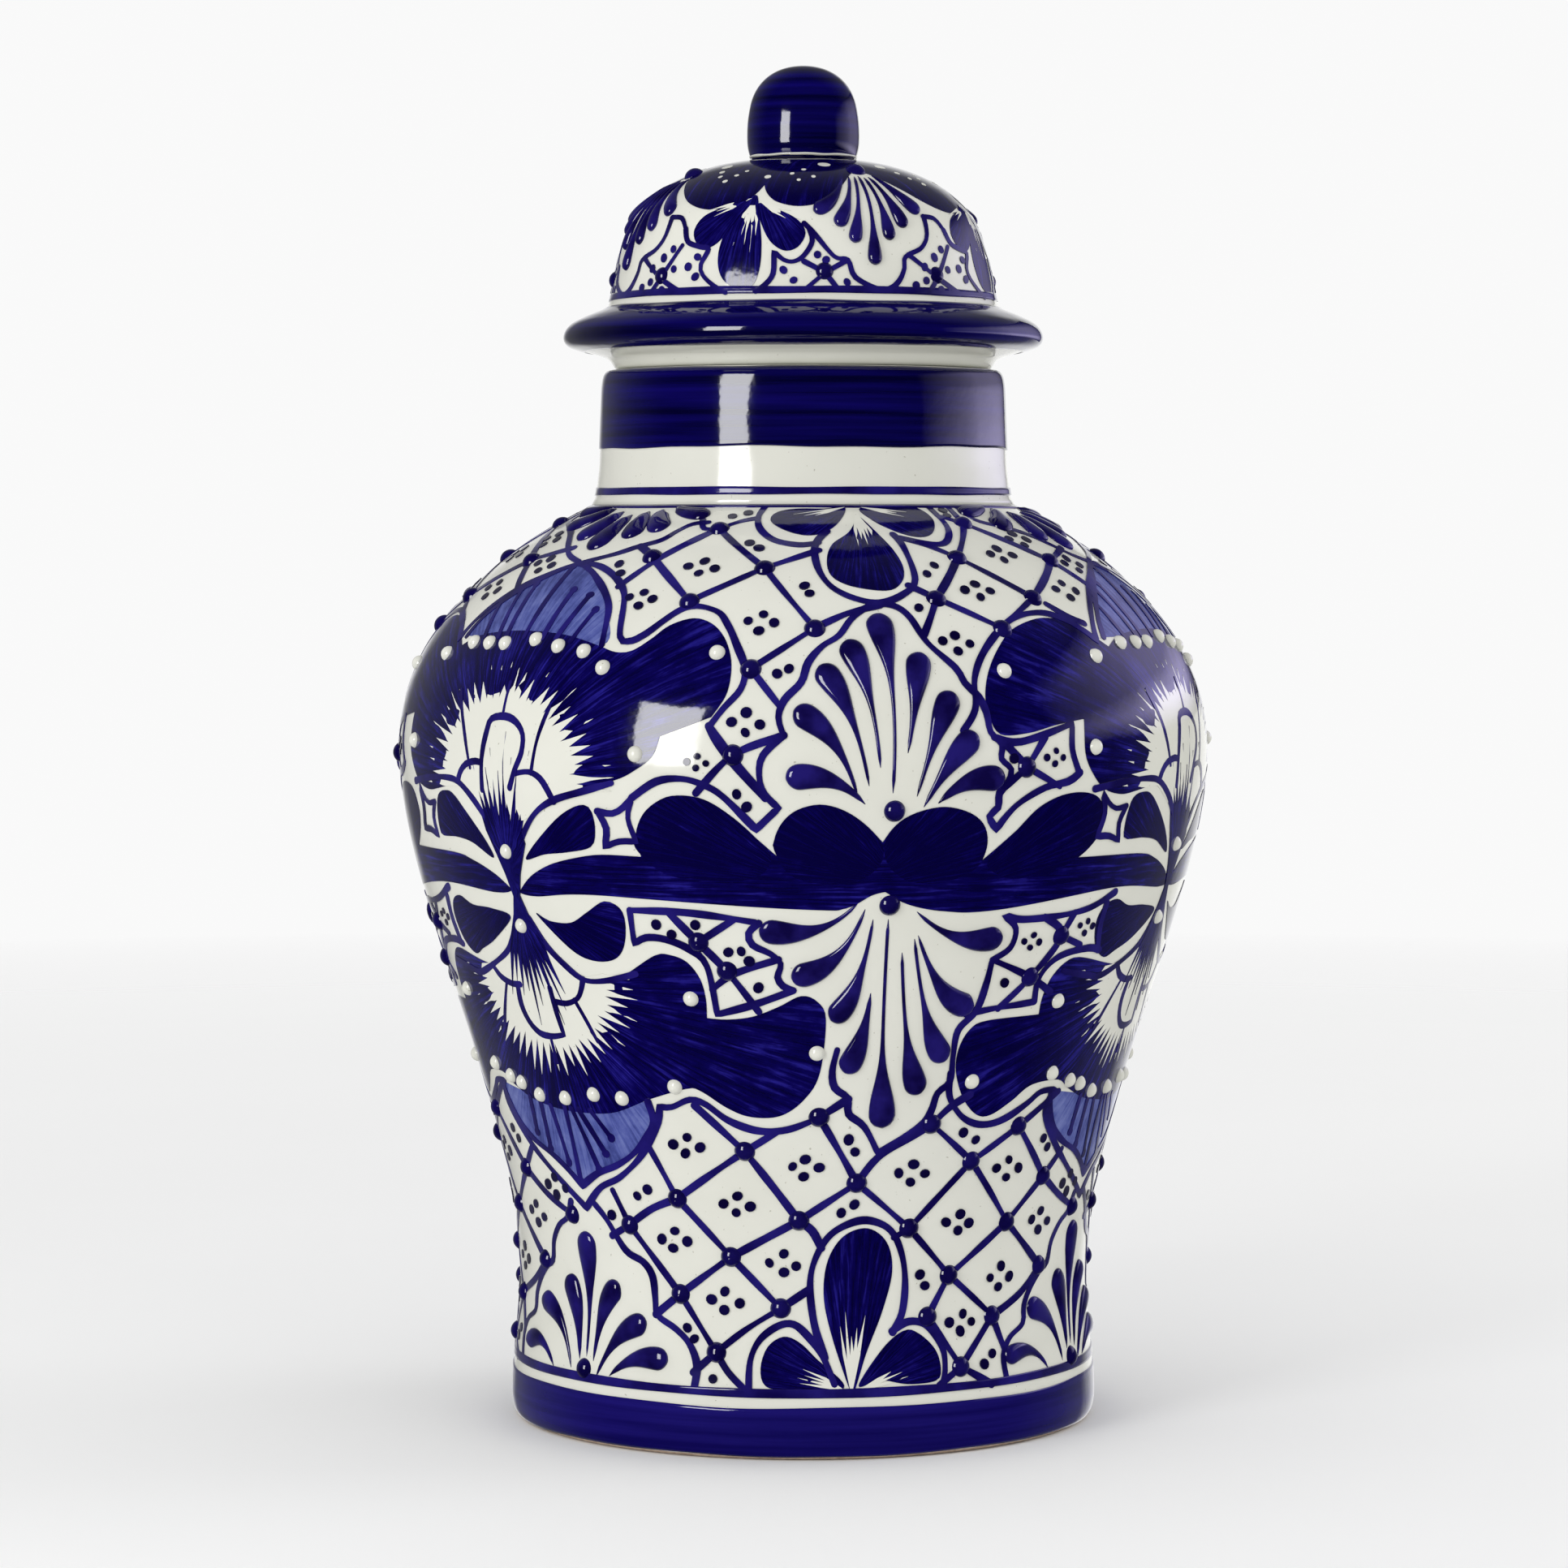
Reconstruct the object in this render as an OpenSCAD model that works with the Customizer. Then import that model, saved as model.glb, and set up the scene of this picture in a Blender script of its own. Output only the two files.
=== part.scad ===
// Lidded ginger jar in glazed talavera earthenware, with raised beads and drops of thick glaze.
// The origin is the centre of the foot's resting face and +Z is up. The side with the fan
// column nearest to turn 0 faces -Y, and a turn grows towards +X from there.

/* [Jar] */
// Radius of the foot's widest edge
foot_r = 86.8; // [82:0.1:92]
// Height of the foot's widest edge
foot_edge_z = 6; // [5:0.5:8]
// Radius of the waist above the foot
waist_r = 84.4; // [78:0.1:86]
// Height of the waist
waist_z = 42; // [36:1:50]
// Radius of the belly
belly_r = 119.9; // [112:0.1:124]
// Height of the belly's widest line
belly_z = 199; // [185:1:205]
// Radius where the shoulder meets the collar
neck_r = 63; // [60:0.5:66]
// Height where the shoulder meets the collar
neck_z = 270; // [266:1:274]
// Height of the rim that the lid rests on
rim_z = 310; // [304:1:316]
// Thickness of the jar's wall
wall = 7; // [5:0.5:9]
// Height of the recess under the base, inside the foot ring
base_recess = 4; // [2:0.5:6]
// Thickness of the base
base_floor = 9; // [7:0.5:12]
// Width of the foot ring's resting face
foot_ring = 10; // [7:0.5:13]

/* [Lid] */
// Radius of the flange's edge
flange_r = 71; // [67:0.1:73]
// Radius of the dome where it leaves the flange
dome_r = 57.5; // [55:0.1:60]
// Height of the lid's dome above the rim, up to the knob
dome_rise = 61.8; // [55:0.1:66]
// Thickness of the lid's wall
lid_wall = 5.5; // [4.5:0.5:7]
// Radial gap between the locating skirt and the collar
skirt_gap = 2; // [1:0.5:3]
// Depth of the locating skirt below the rim
skirt_depth = 11; // [7:1:16]
// Widest radius of the knob
knob_r = 16.8; // [14:0.1:19]
// Height of the knob above the dome
knob_rise = 28.2; // [25:0.1:34]

/* [Raised decoration] */
// Radius of a blue net bead at the wall
net_bead_r = 3; // [2.4:0.1:3.4]
// Height of a blue net bead
net_bead_rise = 1.9; // [1.4:0.1:2.2]
// Radius of a white pearl at the wall
pearl_r = 2.3; // [2:0.1:3]
// Height of a white pearl
pearl_rise = 1.8; // [1.4:0.1:2.1]
// Height of a drop at its head
drop_rise = 1.3; // [0.8:0.1:1.6]
// Width of a drop's tail
tail_width = 1.2; // [0.9:0.1:1.6]
// Depth that each bead and drop is sunk into the wall
sink = 0.4; // [0.3:0.1:0.6]

/* [Hidden] */
$fn = 96;

clay_white = "#e6e5dc";
cobalt = "#1c1a5e";
net_blue = "#2b2680";

curve_steps = 14;
lid_seat_r = 55.6;
collar_bore_r = neck_r - 2.5 - wall;
skirt_r = collar_bore_r - skirt_gap;
dome_foot_z = rim_z + 18.3;
dome_top_z = rim_z + dome_rise;
knob_foot_r = 15;

// Columns of the painting, as turns in degrees. Three blossoms alternate with three fans.
blossom_turns = [-45.5, 67.5, 191];
fan_turns = [11.5, 129, 252.5];
// Half the spacing between two blossoms, which every fan sector is stretched to
half_sectors = [56.5, 61.75, 61.75];
design_half_sector = 56.5;
// The lid repeats four times
lid_turns = [25, 115, 205, 295];

// ---- Profiles: [radius, height] outlines from the bottom up ----

function bezier(a, b, c, d, steps) = [
    for (i = [1 : steps])
        let (t = i / steps, s = 1 - t)
        s * s * s * a + 3 * s * s * t * b + 3 * s * t * t * c + t * t * t * d
];

function jar_profile() = concat(
    [[foot_r - 2.3, 0], [foot_r - 0.6, 2], [foot_r, foot_edge_z]],
    bezier([foot_r, foot_edge_z], [foot_r, foot_edge_z + 13],
        [waist_r, waist_z - 13], [waist_r, waist_z], 6),
    bezier([waist_r, waist_z], [waist_r, waist_z + 50],
        [belly_r, belly_z - 43], [belly_r, belly_z], 2 * curve_steps),
    bezier([belly_r, belly_z], [belly_r, belly_z + 46],
        [neck_r + 3, neck_z - 2], [neck_r, neck_z], 2 * curve_steps)
);

function collar_profile() = [
    [neck_r - 1.5, neck_z + 3],
    [neck_r - 2.5, neck_z + 12],
    [neck_r - 3.4, rim_z - 5],
    [neck_r - 3.9, rim_z - 1.6],
    [neck_r - 5, rim_z]
];

function dome_profile() = concat(
    bezier([dome_r - 0.1, rim_z + 20], [dome_r - 1.5, rim_z + 28],
        [dome_r - 3, rim_z + 34.5], [dome_r - 4.9, rim_z + 40], 6),
    bezier([dome_r - 4.9, rim_z + 40], [dome_r - 8.5, rim_z + 51.5],
        [dome_r - 22.5, dome_top_z - 1.8], [knob_foot_r, dome_top_z], curve_steps)
);

function lid_profile() = concat(
    [
        [lid_seat_r, rim_z],
        [dome_r, rim_z + 3.5],
        [flange_r - 1.6, rim_z + 7],
        [flange_r - 0.3, rim_z + 8.2],
        [flange_r, rim_z + 9.6],
        [flange_r - 0.7, rim_z + 11.8],
        [flange_r - 2.6, rim_z + 13.7],
        [flange_r - 6.7, rim_z + 15.7],
        [dome_r, dome_foot_z]
    ],
    dome_profile()
);

// Moves every point of an outline inwards, square to the outline, by depth
function inset(outline, depth) = [
    for (i = [0 : len(outline) - 1])
        let (
            before = outline[max(i - 1, 0)],
            after = outline[min(i + 1, len(outline) - 1)],
            along = (after - before) / norm(after - before)
        )
        outline[i] + depth * [-along[1], along[0]]
];

function reversed(list) = [for (i = [len(list) - 1 : -1 : 0]) list[i]];

// Points of an outline whose height lies between low and high
function between(outline, low, high) = [
    for (point = outline) if (point[1] > low && point[1] < high) point
];

// ---- Places on a surface: a turn in degrees and a rise in mm, measured up along the wall ----

function rises(outline, i = 0, sum = 0) = i == len(outline) - 1
    ? [sum]
    : concat([sum], rises(outline, i + 1, sum + norm(outline[i + 1] - outline[i])));

function radius_table(outline) = let (up = rises(outline)) [
    for (i = [0 : len(outline) - 1]) [up[i], outline[i][0]]
];

function height_table(outline) = let (up = rises(outline)) [
    for (i = [0 : len(outline) - 1]) [up[i], outline[i][1]]
];

jar_radius = radius_table(jar_profile());
jar_height = height_table(jar_profile());
dome_outline = concat([[dome_r, dome_foot_z]], dome_profile());
jar_wall = [jar_radius, jar_height];
dome_wall = [radius_table(dome_outline), height_table(dome_outline)];

function on_wall(surface, turn, rise) = [
    lookup(rise, surface[0]) * sin(turn),
    -lookup(rise, surface[0]) * cos(turn),
    lookup(rise, surface[1])
];

// Slope of the wall at a rise: the angle that its outward normal makes above the horizontal
function tilt(surface, rise) = atan2(
    lookup(rise - 1, surface[0]) - lookup(rise + 1, surface[0]),
    lookup(rise + 1, surface[1]) - lookup(rise - 1, surface[1])
);

function outward(surface, turn, rise) = let (lean = tilt(surface, rise)) [
    cos(lean) * sin(turn),
    -cos(lean) * cos(turn),
    sin(lean)
];

// Turn of a place in a fan's sector, stretched to the sector's real width
function fan_turn(k, offset) = fan_turns[k] + offset * half_sectors[k] / design_half_sector;

// ---- Beads and drops ----

// Cap of a ball, standing on the wall with its base sunk into it
module bead(surface, turn, rise, base_r, cap_rise) {
    ball_r = (base_r * base_r + cap_rise * cap_rise) / (2 * cap_rise);
    translate(on_wall(surface, turn, rise))
        rotate([0, 0, turn])
            rotate([90 - tilt(surface, rise), 0, 0])
                difference() {
                    translate([0, 0, cap_rise - ball_r]) sphere(r = ball_r);
                    translate([0, 0, -ball_r * 2 - sink]) cube(ball_r * 4, center = true);
                }
}

// One ridge from a wide head to a thin tail, swept along a curve on the wall.
// head, bend and tail are [turn, rise] and width is the head's width.
drop_rings = [0, 0.05, 0.14, 0.3, 0.6, 1];
ring_widths = [0.35, 0.85, 1, 0.75, 0.35, 0.12];
ring_rises = [0.3, 0.85, 1, 0.85, 0.55, 0.3];

function drop_ring(surface, head, bend, tail, width, i) = let (
        t = drop_rings[i],
        place = (1 - t) * (1 - t) * head + 2 * t * (1 - t) * bend + t * t * tail,
        heading = (1 - t) * (bend - head) + t * (tail - bend),
        middle = on_wall(surface, place[0], place[1]),
        up = outward(surface, place[0], place[1]),
        ahead = on_wall(surface, place[0] + 0.05 * heading[0], place[1] + 0.05 * heading[1]),
        step = (ahead - middle) / norm(ahead - middle),
        side = cross(up, step),
        half = max(width * ring_widths[i], tail_width) / 2,
        rise = drop_rise * ring_rises[i]
    ) [
        middle - half * side - sink * up,
        middle - 0.55 * half * side + rise * up,
        middle + 0.55 * half * side + rise * up,
        middle + half * side - sink * up
    ];

module drop(surface, head, bend, tail, width) {
    count = len(drop_rings);
    points = [
        for (i = [0 : count - 1])
            for (point = drop_ring(surface, head, bend, tail, width, i)) point
    ];
    sides = [
        for (i = [0 : count - 2])
            for (j = [0 : 3])
                let (a = 4 * i + j, b = 4 * i + (j + 1) % 4)
                for (face = [[a, a + 4, b + 4], [a, b + 4, b]]) face
    ];
    last = 4 * (count - 1);
    ends = [[0, 1, 2], [0, 2, 3], [last, last + 2, last + 1], [last, last + 3, last + 2]];
    polyhedron(points = points, faces = concat(sides, ends), convexity = 4);
}

// ---- Jar ----

floor_z = base_recess + base_floor;
foot_inner_r = foot_r - 2.3 - foot_ring;
inner_outline = between(inset(jar_profile(), wall), floor_z + 2, neck_z - wall);

module jar_body() {
    color(clay_white)
        rotate_extrude($fn = 128)
            polygon(concat(
                [[0, base_recess], [foot_inner_r - 2, base_recess], [foot_inner_r, 0]],
                jar_profile(),
                [[collar_bore_r, neck_z], [collar_bore_r + 2, neck_z - wall + 2]],
                reversed(inner_outline),
                [[foot_r - wall - 4, floor_z], [0, floor_z]]
            ));
}

module jar_collar() {
    color(clay_white)
        rotate_extrude($fn = 128)
            polygon(concat(
                [[collar_bore_r, neck_z], [neck_r, neck_z]],
                collar_profile(),
                [[collar_bore_r + 1.2, rim_z], [collar_bore_r, rim_z - 1.5]]
            ));
}

module jar_net_beads() {
    upper_left = [[-41, 272], [-30, 286], [-18.5, 267], [-30, 253.5], [-10, 244], [-19, 231], [-21, 206.5]];
    upper_right = [[18, 271.5], [27, 289], [10, 254.5], [19.5, 243.5], [28.5, 254.5], [19.5, 202.5], [41, 270]];
    belt_sides = [[-27, 153], [-23, 144.5], [25, 141], [29.5, 153]];
    lower_left = [
        [-9, 100.5], [-22, 90], [-2, 80.5], [-12.5, 69.5], [-25.5, 58.5], [-16, 44], [-28.5, 31],
        [-35.5, 75], [-46.5, 66], [-36, 47]
    ];
    lower_right = [
        [11, 97.5], [20, 85.5], [29.5, 95], [8.5, 66.5], [17.5, 52], [30.5, 66], [28, 39], [20, 25.5],
        [39, 78.5], [41.5, 51.5], [52.5, 67], [13, 40.5]
    ];
    color(net_blue)
        for (k = [0 : len(fan_turns) - 1])
            for (place = concat(upper_left, upper_right, belt_sides, lower_left, lower_right))
                bead(jar_wall, fan_turn(k, place[0]), place[1], net_bead_r, net_bead_rise);
}

module jar_blossom_pearls() {
    cap_row = [[-13, 238], [-8.5, 238], [-4.5, 238], [2, 239.5], [7, 237.5], [12, 236], [16, 231]];
    lobe_top = [[-20.5, 234], [-38.5, 230], [-24.5, 207.5], [22.5, 206.5], [33, 236]];
    lobe_bottom = [[-21, 110.5], [-38.5, 110], [-24, 133], [23.5, 109], [28, 136], [47.5, 120]];
    base_row = [[-15.5, 107.5], [-12, 106], [-7, 103], [0, 103], [7, 105], [13, 104.5]];
    heart = [[-0.5, 177.5], [-0.5, 155.5]];
    color(clay_white)
        for (turn = blossom_turns)
            for (place = concat(cap_row, lobe_top, lobe_bottom, base_row, heart))
                bead(jar_wall, turn + place[0], place[1], pearl_r, pearl_rise);
}

module jar_fan_beads() {
    belt_beads = [[0.5, 191], [0.5, 164]];
    color(cobalt) {
        for (k = [0 : len(fan_turns) - 1])
            for (place = belt_beads)
                bead(jar_wall, fan_turn(k, place[0]), place[1], net_bead_r, net_bead_rise);
        for (turn = blossom_turns)
            bead(jar_wall, turn - 2, 22.5, net_bead_r, net_bead_rise);
    }
}

// Drops of a fan that is centred on a blossom. Each row is [head, bend, tail, width], with the
// first three as a turn from the blossom's centre line and a rise.
module blossom_drops(drops) {
    color(cobalt)
        for (turn = blossom_turns)
            for (row = drops)
                drop(jar_wall, [turn, 0] + row[0], [turn, 0] + row[1], [turn, 0] + row[2], row[3]);
}

module jar_shoulder_drops() {
    blossom_drops([
        [[-26, 295], [-19, 296], [-13, 299], 6],
        [[-20, 287], [-14, 289], [-11, 298], 8],
        [[-8.5, 280], [-6, 287], [-5.5, 296], 8],
        [[-0.5, 275], [-0.5, 285], [-0.5, 294], 8.5],
        [[7, 281], [5, 288], [4, 296], 7.5],
        [[13.5, 285], [9.5, 290], [8, 297], 7.5],
        [[22.5, 294], [15, 294.5], [11, 299], 6.5]
    ]);
}

// A fan's nine drops, in the turn and rise of its sector
module sector_drops(k, drops) {
    for (row = drops)
        drop(
            jar_wall,
            [fan_turn(k, row[0][0]), row[0][1]],
            [fan_turn(k, row[1][0]), row[1][1]],
            [fan_turn(k, row[2][0]), row[2][1]],
            row[3]
        );
}

module jar_upper_fan_drops() {
    drops = [
        [[-14, 200], [-8, 203], [-3.5, 193], 7.5],
        [[-13, 219], [-7, 214], [-4.5, 195], 7.5],
        [[-9.5, 232], [-5, 222], [-3, 198], 7.5],
        [[-5.5, 240], [-2.5, 228], [-1.5, 203], 7.5],
        [[-0.5, 249], [1, 230], [0.2, 196], 8],
        [[5, 236], [3.5, 222], [2.2, 207], 7.5],
        [[9, 224], [6, 214], [3.5, 195], 7.5],
        [[12, 212], [8, 206], [4.5, 192], 7.5],
        [[16, 199], [11, 202], [6.5, 193], 7.5]
    ];
    color(cobalt)
        for (k = [0 : len(fan_turns) - 1]) sector_drops(k, drops);
}

module jar_lower_fan_drops() {
    drops = [
        [[-18, 157], [-9, 153], [-4, 165], 7.5],
        [[-13.5, 143], [-6, 144], [-3, 163], 7.5],
        [[-7.5, 130], [-3, 136], [-1.8, 160], 7],
        [[-5, 114], [-2, 122], [-1.5, 138], 7],
        [[2, 97], [0.5, 125], [0.4, 160], 8],
        [[8, 107], [4.5, 118], [2.8, 150], 7],
        [[12, 117], [7.5, 124], [4.5, 154], 7],
        [[15.5, 133], [9.5, 133], [5, 155], 7.5],
        [[18.5, 154], [11, 150], [4.5, 162], 7.5]
    ];
    color(cobalt)
        for (k = [0 : len(fan_turns) - 1]) sector_drops(k, drops);
}

module jar_foot_fan_drops() {
    blossom_drops([
        [[-25, 26], [-17, 31], [-12, 21], 6],
        [[-18, 40], [-9, 38], [-6, 22], 7],
        [[-8, 48.5], [-4.5, 42], [-3.5, 25], 7.5],
        [[-1.5, 62.5], [-1, 50], [-1.5, 26], 8],
        [[7, 48], [2, 44], [0.5, 25], 7],
        [[13.5, 38], [6, 36], [1.5, 20.5], 7],
        [[18.5, 27.5], [11, 30], [5, 21.5], 7]
    ]);
}

// ---- Lid ----

skirt_inner_r = skirt_r - lid_wall;
lid_inside = between(inset(lid_profile(), lid_wall), rim_z + 22, dome_top_z - lid_wall);

module lid_shell() {
    color(clay_white)
        rotate_extrude($fn = 128)
            polygon(concat(
                [[skirt_inner_r, rim_z - skirt_depth + 1], [skirt_inner_r + 1, rim_z - skirt_depth],
                    [skirt_r - 1, rim_z - skirt_depth], [skirt_r, rim_z - skirt_depth + 1],
                    [skirt_r, rim_z]],
                lid_profile(),
                [[0, dome_top_z], [0, dome_top_z - lid_wall]],
                reversed(lid_inside)
            ));
}

module lid_knob() {
    low = dome_top_z;
    color(cobalt)
        rotate_extrude($fn = 96)
            polygon(concat(
                [[0, low], [knob_foot_r, low], [knob_r - 0.8, low + 1.6]],
                bezier([knob_r - 0.3, low + 3], [knob_r, low + 7],
                    [knob_r, low + 11], [knob_r - 0.8, low + 15], 8),
                bezier([knob_r - 0.8, low + 15], [knob_r - 1.8, low + 22.5],
                    [knob_r * 0.57, low + knob_rise], [0, low + knob_rise], 10)
            ));
}

module lid_net_beads() {
    places = [[-19, 8.5], [18, 8]];
    color(net_blue)
        for (turn = lid_turns)
            for (place = places)
                bead(dome_wall, turn + place[0], place[1], net_bead_r * 0.85, net_bead_rise * 0.8);
}

module lid_fan_beads() {
    color(cobalt)
        for (turn = lid_turns)
            bead(dome_wall, turn, 47, net_bead_r, net_bead_rise);
}

module lid_fan_drops() {
    drops = [
        [[-22, 27.5], [-15, 29], [-9, 42.5], 5],
        [[-14.5, 22.5], [-10, 29], [-6, 43], 4.5],
        [[-9.5, 17.5], [-7, 28], [-3.5, 43], 4.2],
        [[-3.5, 11], [-3, 24], [-1.5, 43.5], 4.5],
        [[2.5, 18.5], [1.5, 26], [0.7, 42.5], 4.2],
        [[8.5, 22.5], [5.5, 29], [3, 43], 4.5],
        [[16, 27.5], [10.5, 32], [5.5, 44], 5]
    ];
    color(cobalt)
        for (turn = lid_turns)
            for (row = drops)
                drop(dome_wall, [turn, 0] + row[0], [turn, 0] + row[1], [turn, 0] + row[2], row[3]);
}

jar_body();
jar_collar();
lid_shell();
lid_knob();
jar_net_beads();
jar_blossom_pearls();
jar_fan_beads();
jar_shoulder_drops();
jar_upper_fan_drops();
jar_lower_fan_drops();
jar_foot_fan_drops();
lid_net_beads();
lid_fan_beads();
lid_fan_drops();
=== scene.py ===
"""Lidded talavera ginger jar: white glazed clay, painting in thin cobalt glazes, raised beads and drops.

A place on a wall is (turn, rise): the turn in degrees round the jar's axis from the front, growing
to the right, and the rise in millimetres measured up along the wall's outline. A motif is drawn
about its own column, so its turns count from the column's centre line.
"""
import math
import random
import bmesh
import bpy
import numpy as np
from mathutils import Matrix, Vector
from mathutils.geometry import delaunay_2d_cdt


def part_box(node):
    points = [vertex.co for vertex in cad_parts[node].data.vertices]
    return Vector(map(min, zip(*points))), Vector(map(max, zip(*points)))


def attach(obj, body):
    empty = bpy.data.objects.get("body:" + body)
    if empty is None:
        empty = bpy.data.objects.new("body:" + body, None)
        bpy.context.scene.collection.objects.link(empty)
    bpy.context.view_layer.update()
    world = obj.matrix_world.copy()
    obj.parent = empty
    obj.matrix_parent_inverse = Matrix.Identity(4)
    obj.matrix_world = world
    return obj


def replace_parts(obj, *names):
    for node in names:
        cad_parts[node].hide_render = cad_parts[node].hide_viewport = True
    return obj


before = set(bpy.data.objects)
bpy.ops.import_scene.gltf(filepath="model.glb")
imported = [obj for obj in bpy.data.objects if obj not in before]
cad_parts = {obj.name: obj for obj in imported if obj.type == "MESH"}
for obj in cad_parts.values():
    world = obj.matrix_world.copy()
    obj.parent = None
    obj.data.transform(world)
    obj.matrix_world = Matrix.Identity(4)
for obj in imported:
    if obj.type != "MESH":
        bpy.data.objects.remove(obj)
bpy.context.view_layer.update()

MM = 0.001
STAGE_SPAN = 6.0

# Columns of the painting, each as its turn and how far it is stretched round the wall. Three blossoms
# alternate with three fans, and a fan's sector is drawn 113 degrees wide, from one blossom to the next.
SIDE_STRETCH = (360 - 113) / 2 / 113
BLOSSOM_COLUMNS = ((-45.5, 1), (67.5, 1), (191, 1))
FAN_COLUMNS = ((11.5, 1), (129, SIDE_STRETCH), (252.5, SIDE_STRETCH))
LID_COLUMNS = ((25, 1), (115, 1), (205, 1), (295, 1))

# Heights of the painted layers above the clay wall, and of their sunk rims, in mm
WASH_LIFT = 0.10
FILL_LIFT = 0.17
PAPER_LIFT = 0.24
LINE_LIFT = 0.31
DETAIL_LIFT = 0.38
SUNK = -0.25


# ---------------------------------------------------------------- outlines of the turned pieces

def seam_path(node):
    """A turned CAD node's outline: the (radius, height) points of its seam in mm, lowest end first."""
    cad = bmesh.new()
    cad.from_mesh(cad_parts[node].data)
    bmesh.ops.remove_doubles(cad, verts=cad.verts, dist=1e-6)
    seam = {v for v in cad.verts if abs(v.co.y) < 1e-6 and v.co.x > -1e-6}
    joined = {v: [e.other_vert(v) for e in v.link_edges if e.other_vert(v) in seam] for v in seam}
    ends = [v for v in seam if len(joined[v]) == 1]
    here = min(ends or seam, key=lambda v: (round(v.co.z, 6), v.co.x))
    path = [here]
    while True:
        onward = [v for v in joined[here] if v not in path[-2:] and v is not path[0]]
        if not onward:
            break
        here = max(onward, key=lambda v: v.co.x)
        path.append(here)
    points = np.array([(v.co.x, v.co.z) for v in path]) / MM
    cad.free()
    return points, not ends


def along(points):
    """Distance from the first point to each point, measured along the path."""
    steps = np.hypot(*np.diff(points, axis=0).T)
    return np.concatenate([[0.0], np.cumsum(steps)])


def blurred(points, closed, spread, step):
    """The path with its corners rounded by a Gaussian of the given spread in mm."""
    reach = int(4 * spread / step)
    weights = np.exp(-0.5 * (np.arange(-reach, reach + 1) * step / spread) ** 2)
    weights /= weights.sum()
    if closed:
        padded = np.concatenate([points[-reach:], points, points[:reach]])
    else:
        before = 2 * points[0] - points[1:reach + 1][::-1]
        after = 2 * points[-1] - points[-reach - 1:-1][::-1]
        padded = np.concatenate([before, points, after])
    return np.stack([np.convolve(padded[:, k], weights, "valid") for k in (0, 1)], axis=1)


class Outline:
    """A turned piece's outline with its corners rounded.

    crisp is the rounding everywhere, and soft the rounding between the two heights of soft_span.
    At joint_height another piece is joined on, so the outline keeps the CAD's shape there. All in mm.
    """

    STEP = 0.4
    SOFT_RAMP = 6.0
    JOINT_RAMP = 4.0

    def __init__(self, node, crisp, soft=None, soft_span=(0, 0), joint_height=None):
        corners, self.closed = seam_path(node)
        loop = np.vstack([corners, corners[:1]]) if self.closed else corners
        travelled = along(loop)
        count = int(travelled[-1] / self.STEP)
        self.travel = np.linspace(0, travelled[-1], count, endpoint=not self.closed)
        dense = np.stack([np.interp(self.travel, travelled, loop[:, k]) for k in (0, 1)], axis=1)
        smooth = blurred(dense, self.closed, crisp, self.STEP)
        if soft:
            inside = np.minimum(dense[:, 1] - soft_span[0], soft_span[1] - dense[:, 1])
            share = np.clip(inside / self.SOFT_RAMP, 0, 1)[:, None]
            smooth = smooth + share * (blurred(dense, self.closed, soft, self.STEP) - smooth)
        if joint_height is not None:
            share = np.clip(np.abs(dense[:, 1] - joint_height) / self.JOINT_RAMP, 0, 1)[:, None]
            smooth = dense + share * (smooth - dense)
        self.points = smooth
        self.corners = corners
        self.corner_travel = along(corners)

    def wall(self, base_height, zero_height=None):
        """The outer wall, up from the widest corner at base_height. Rise 0 is there or at zero_height."""
        level = [i for i, p in enumerate(self.corners) if abs(p[1] - base_height) < 0.01]
        start = max(level, key=lambda i: self.corners[i][0])
        stop = start
        while stop + 1 < len(self.corners) and self.corners[stop + 1][1] > self.corners[stop][1] + 1e-4:
            stop += 1
        low, high = self.corner_travel[start], self.corner_travel[stop]
        kept = (self.travel >= low - 1e-6) & (self.travel <= high + 1e-6)
        wall = Wall(self.travel[kept] - low, self.points[kept])
        if zero_height is not None:
            wall.rises = wall.rises - wall.rise_at(zero_height)
        return wall

    def rings(self, bend=2.5, longest=5.0):
        """Points of the outline, a turn of bend degrees or longest mm apart at most."""
        points = self.points
        kept = [0]
        ahead = np.diff(points, axis=0)
        headings = np.unwrap(np.arctan2(ahead[:, 1], ahead[:, 0]))
        for i in range(1, len(points) - 1):
            turned = abs(headings[i] - headings[kept[-1]]) > math.radians(bend)
            far = (i - kept[-1]) * self.STEP > longest
            if turned or far:
                kept.append(i)
        kept.append(len(points) - 1)
        return points[kept]


class Wall:
    """The outside of a turned piece, on which places are given as (turn, rise)."""

    def __init__(self, rises, points):
        self.rises = rises
        self.points = points
        ahead = np.gradient(points, axis=0)
        ahead /= np.hypot(ahead[:, 0], ahead[:, 1])[:, None]
        self.normals = np.stack([ahead[:, 1], -ahead[:, 0]], axis=1)

    def at(self, rise, values):
        """One of the outline's values at a rise."""
        return np.interp(rise, self.rises, values)

    def rise_at(self, height):
        return float(np.interp(height, self.points[:, 1], self.rises))

    def radius(self, rise):
        return self.at(rise, self.points[:, 0])

    def degree(self, rise):
        """Millimetres round the wall in one degree of turn."""
        return math.radians(1) * self.radius(rise)

    def place(self, turns, rises, lift):
        """Points in metres, lifted off the wall by lift mm."""
        turns, rises = np.radians(turns), np.asarray(rises, float)
        radius = self.radius(rises) + lift * self.at(rises, self.normals[:, 0])
        height = self.at(rises, self.points[:, 1]) + lift * self.at(rises, self.normals[:, 1])
        return np.stack([radius * np.sin(turns), -radius * np.cos(turns), height], axis=-1) * MM

    def normal(self, turns, rises):
        turns = np.radians(turns)
        out, up = (self.at(rises, self.normals[:, k]) for k in (0, 1))
        return np.stack([out * np.sin(turns), -out * np.cos(turns), up], axis=-1)


# ---------------------------------------------------------------- meshes

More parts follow.
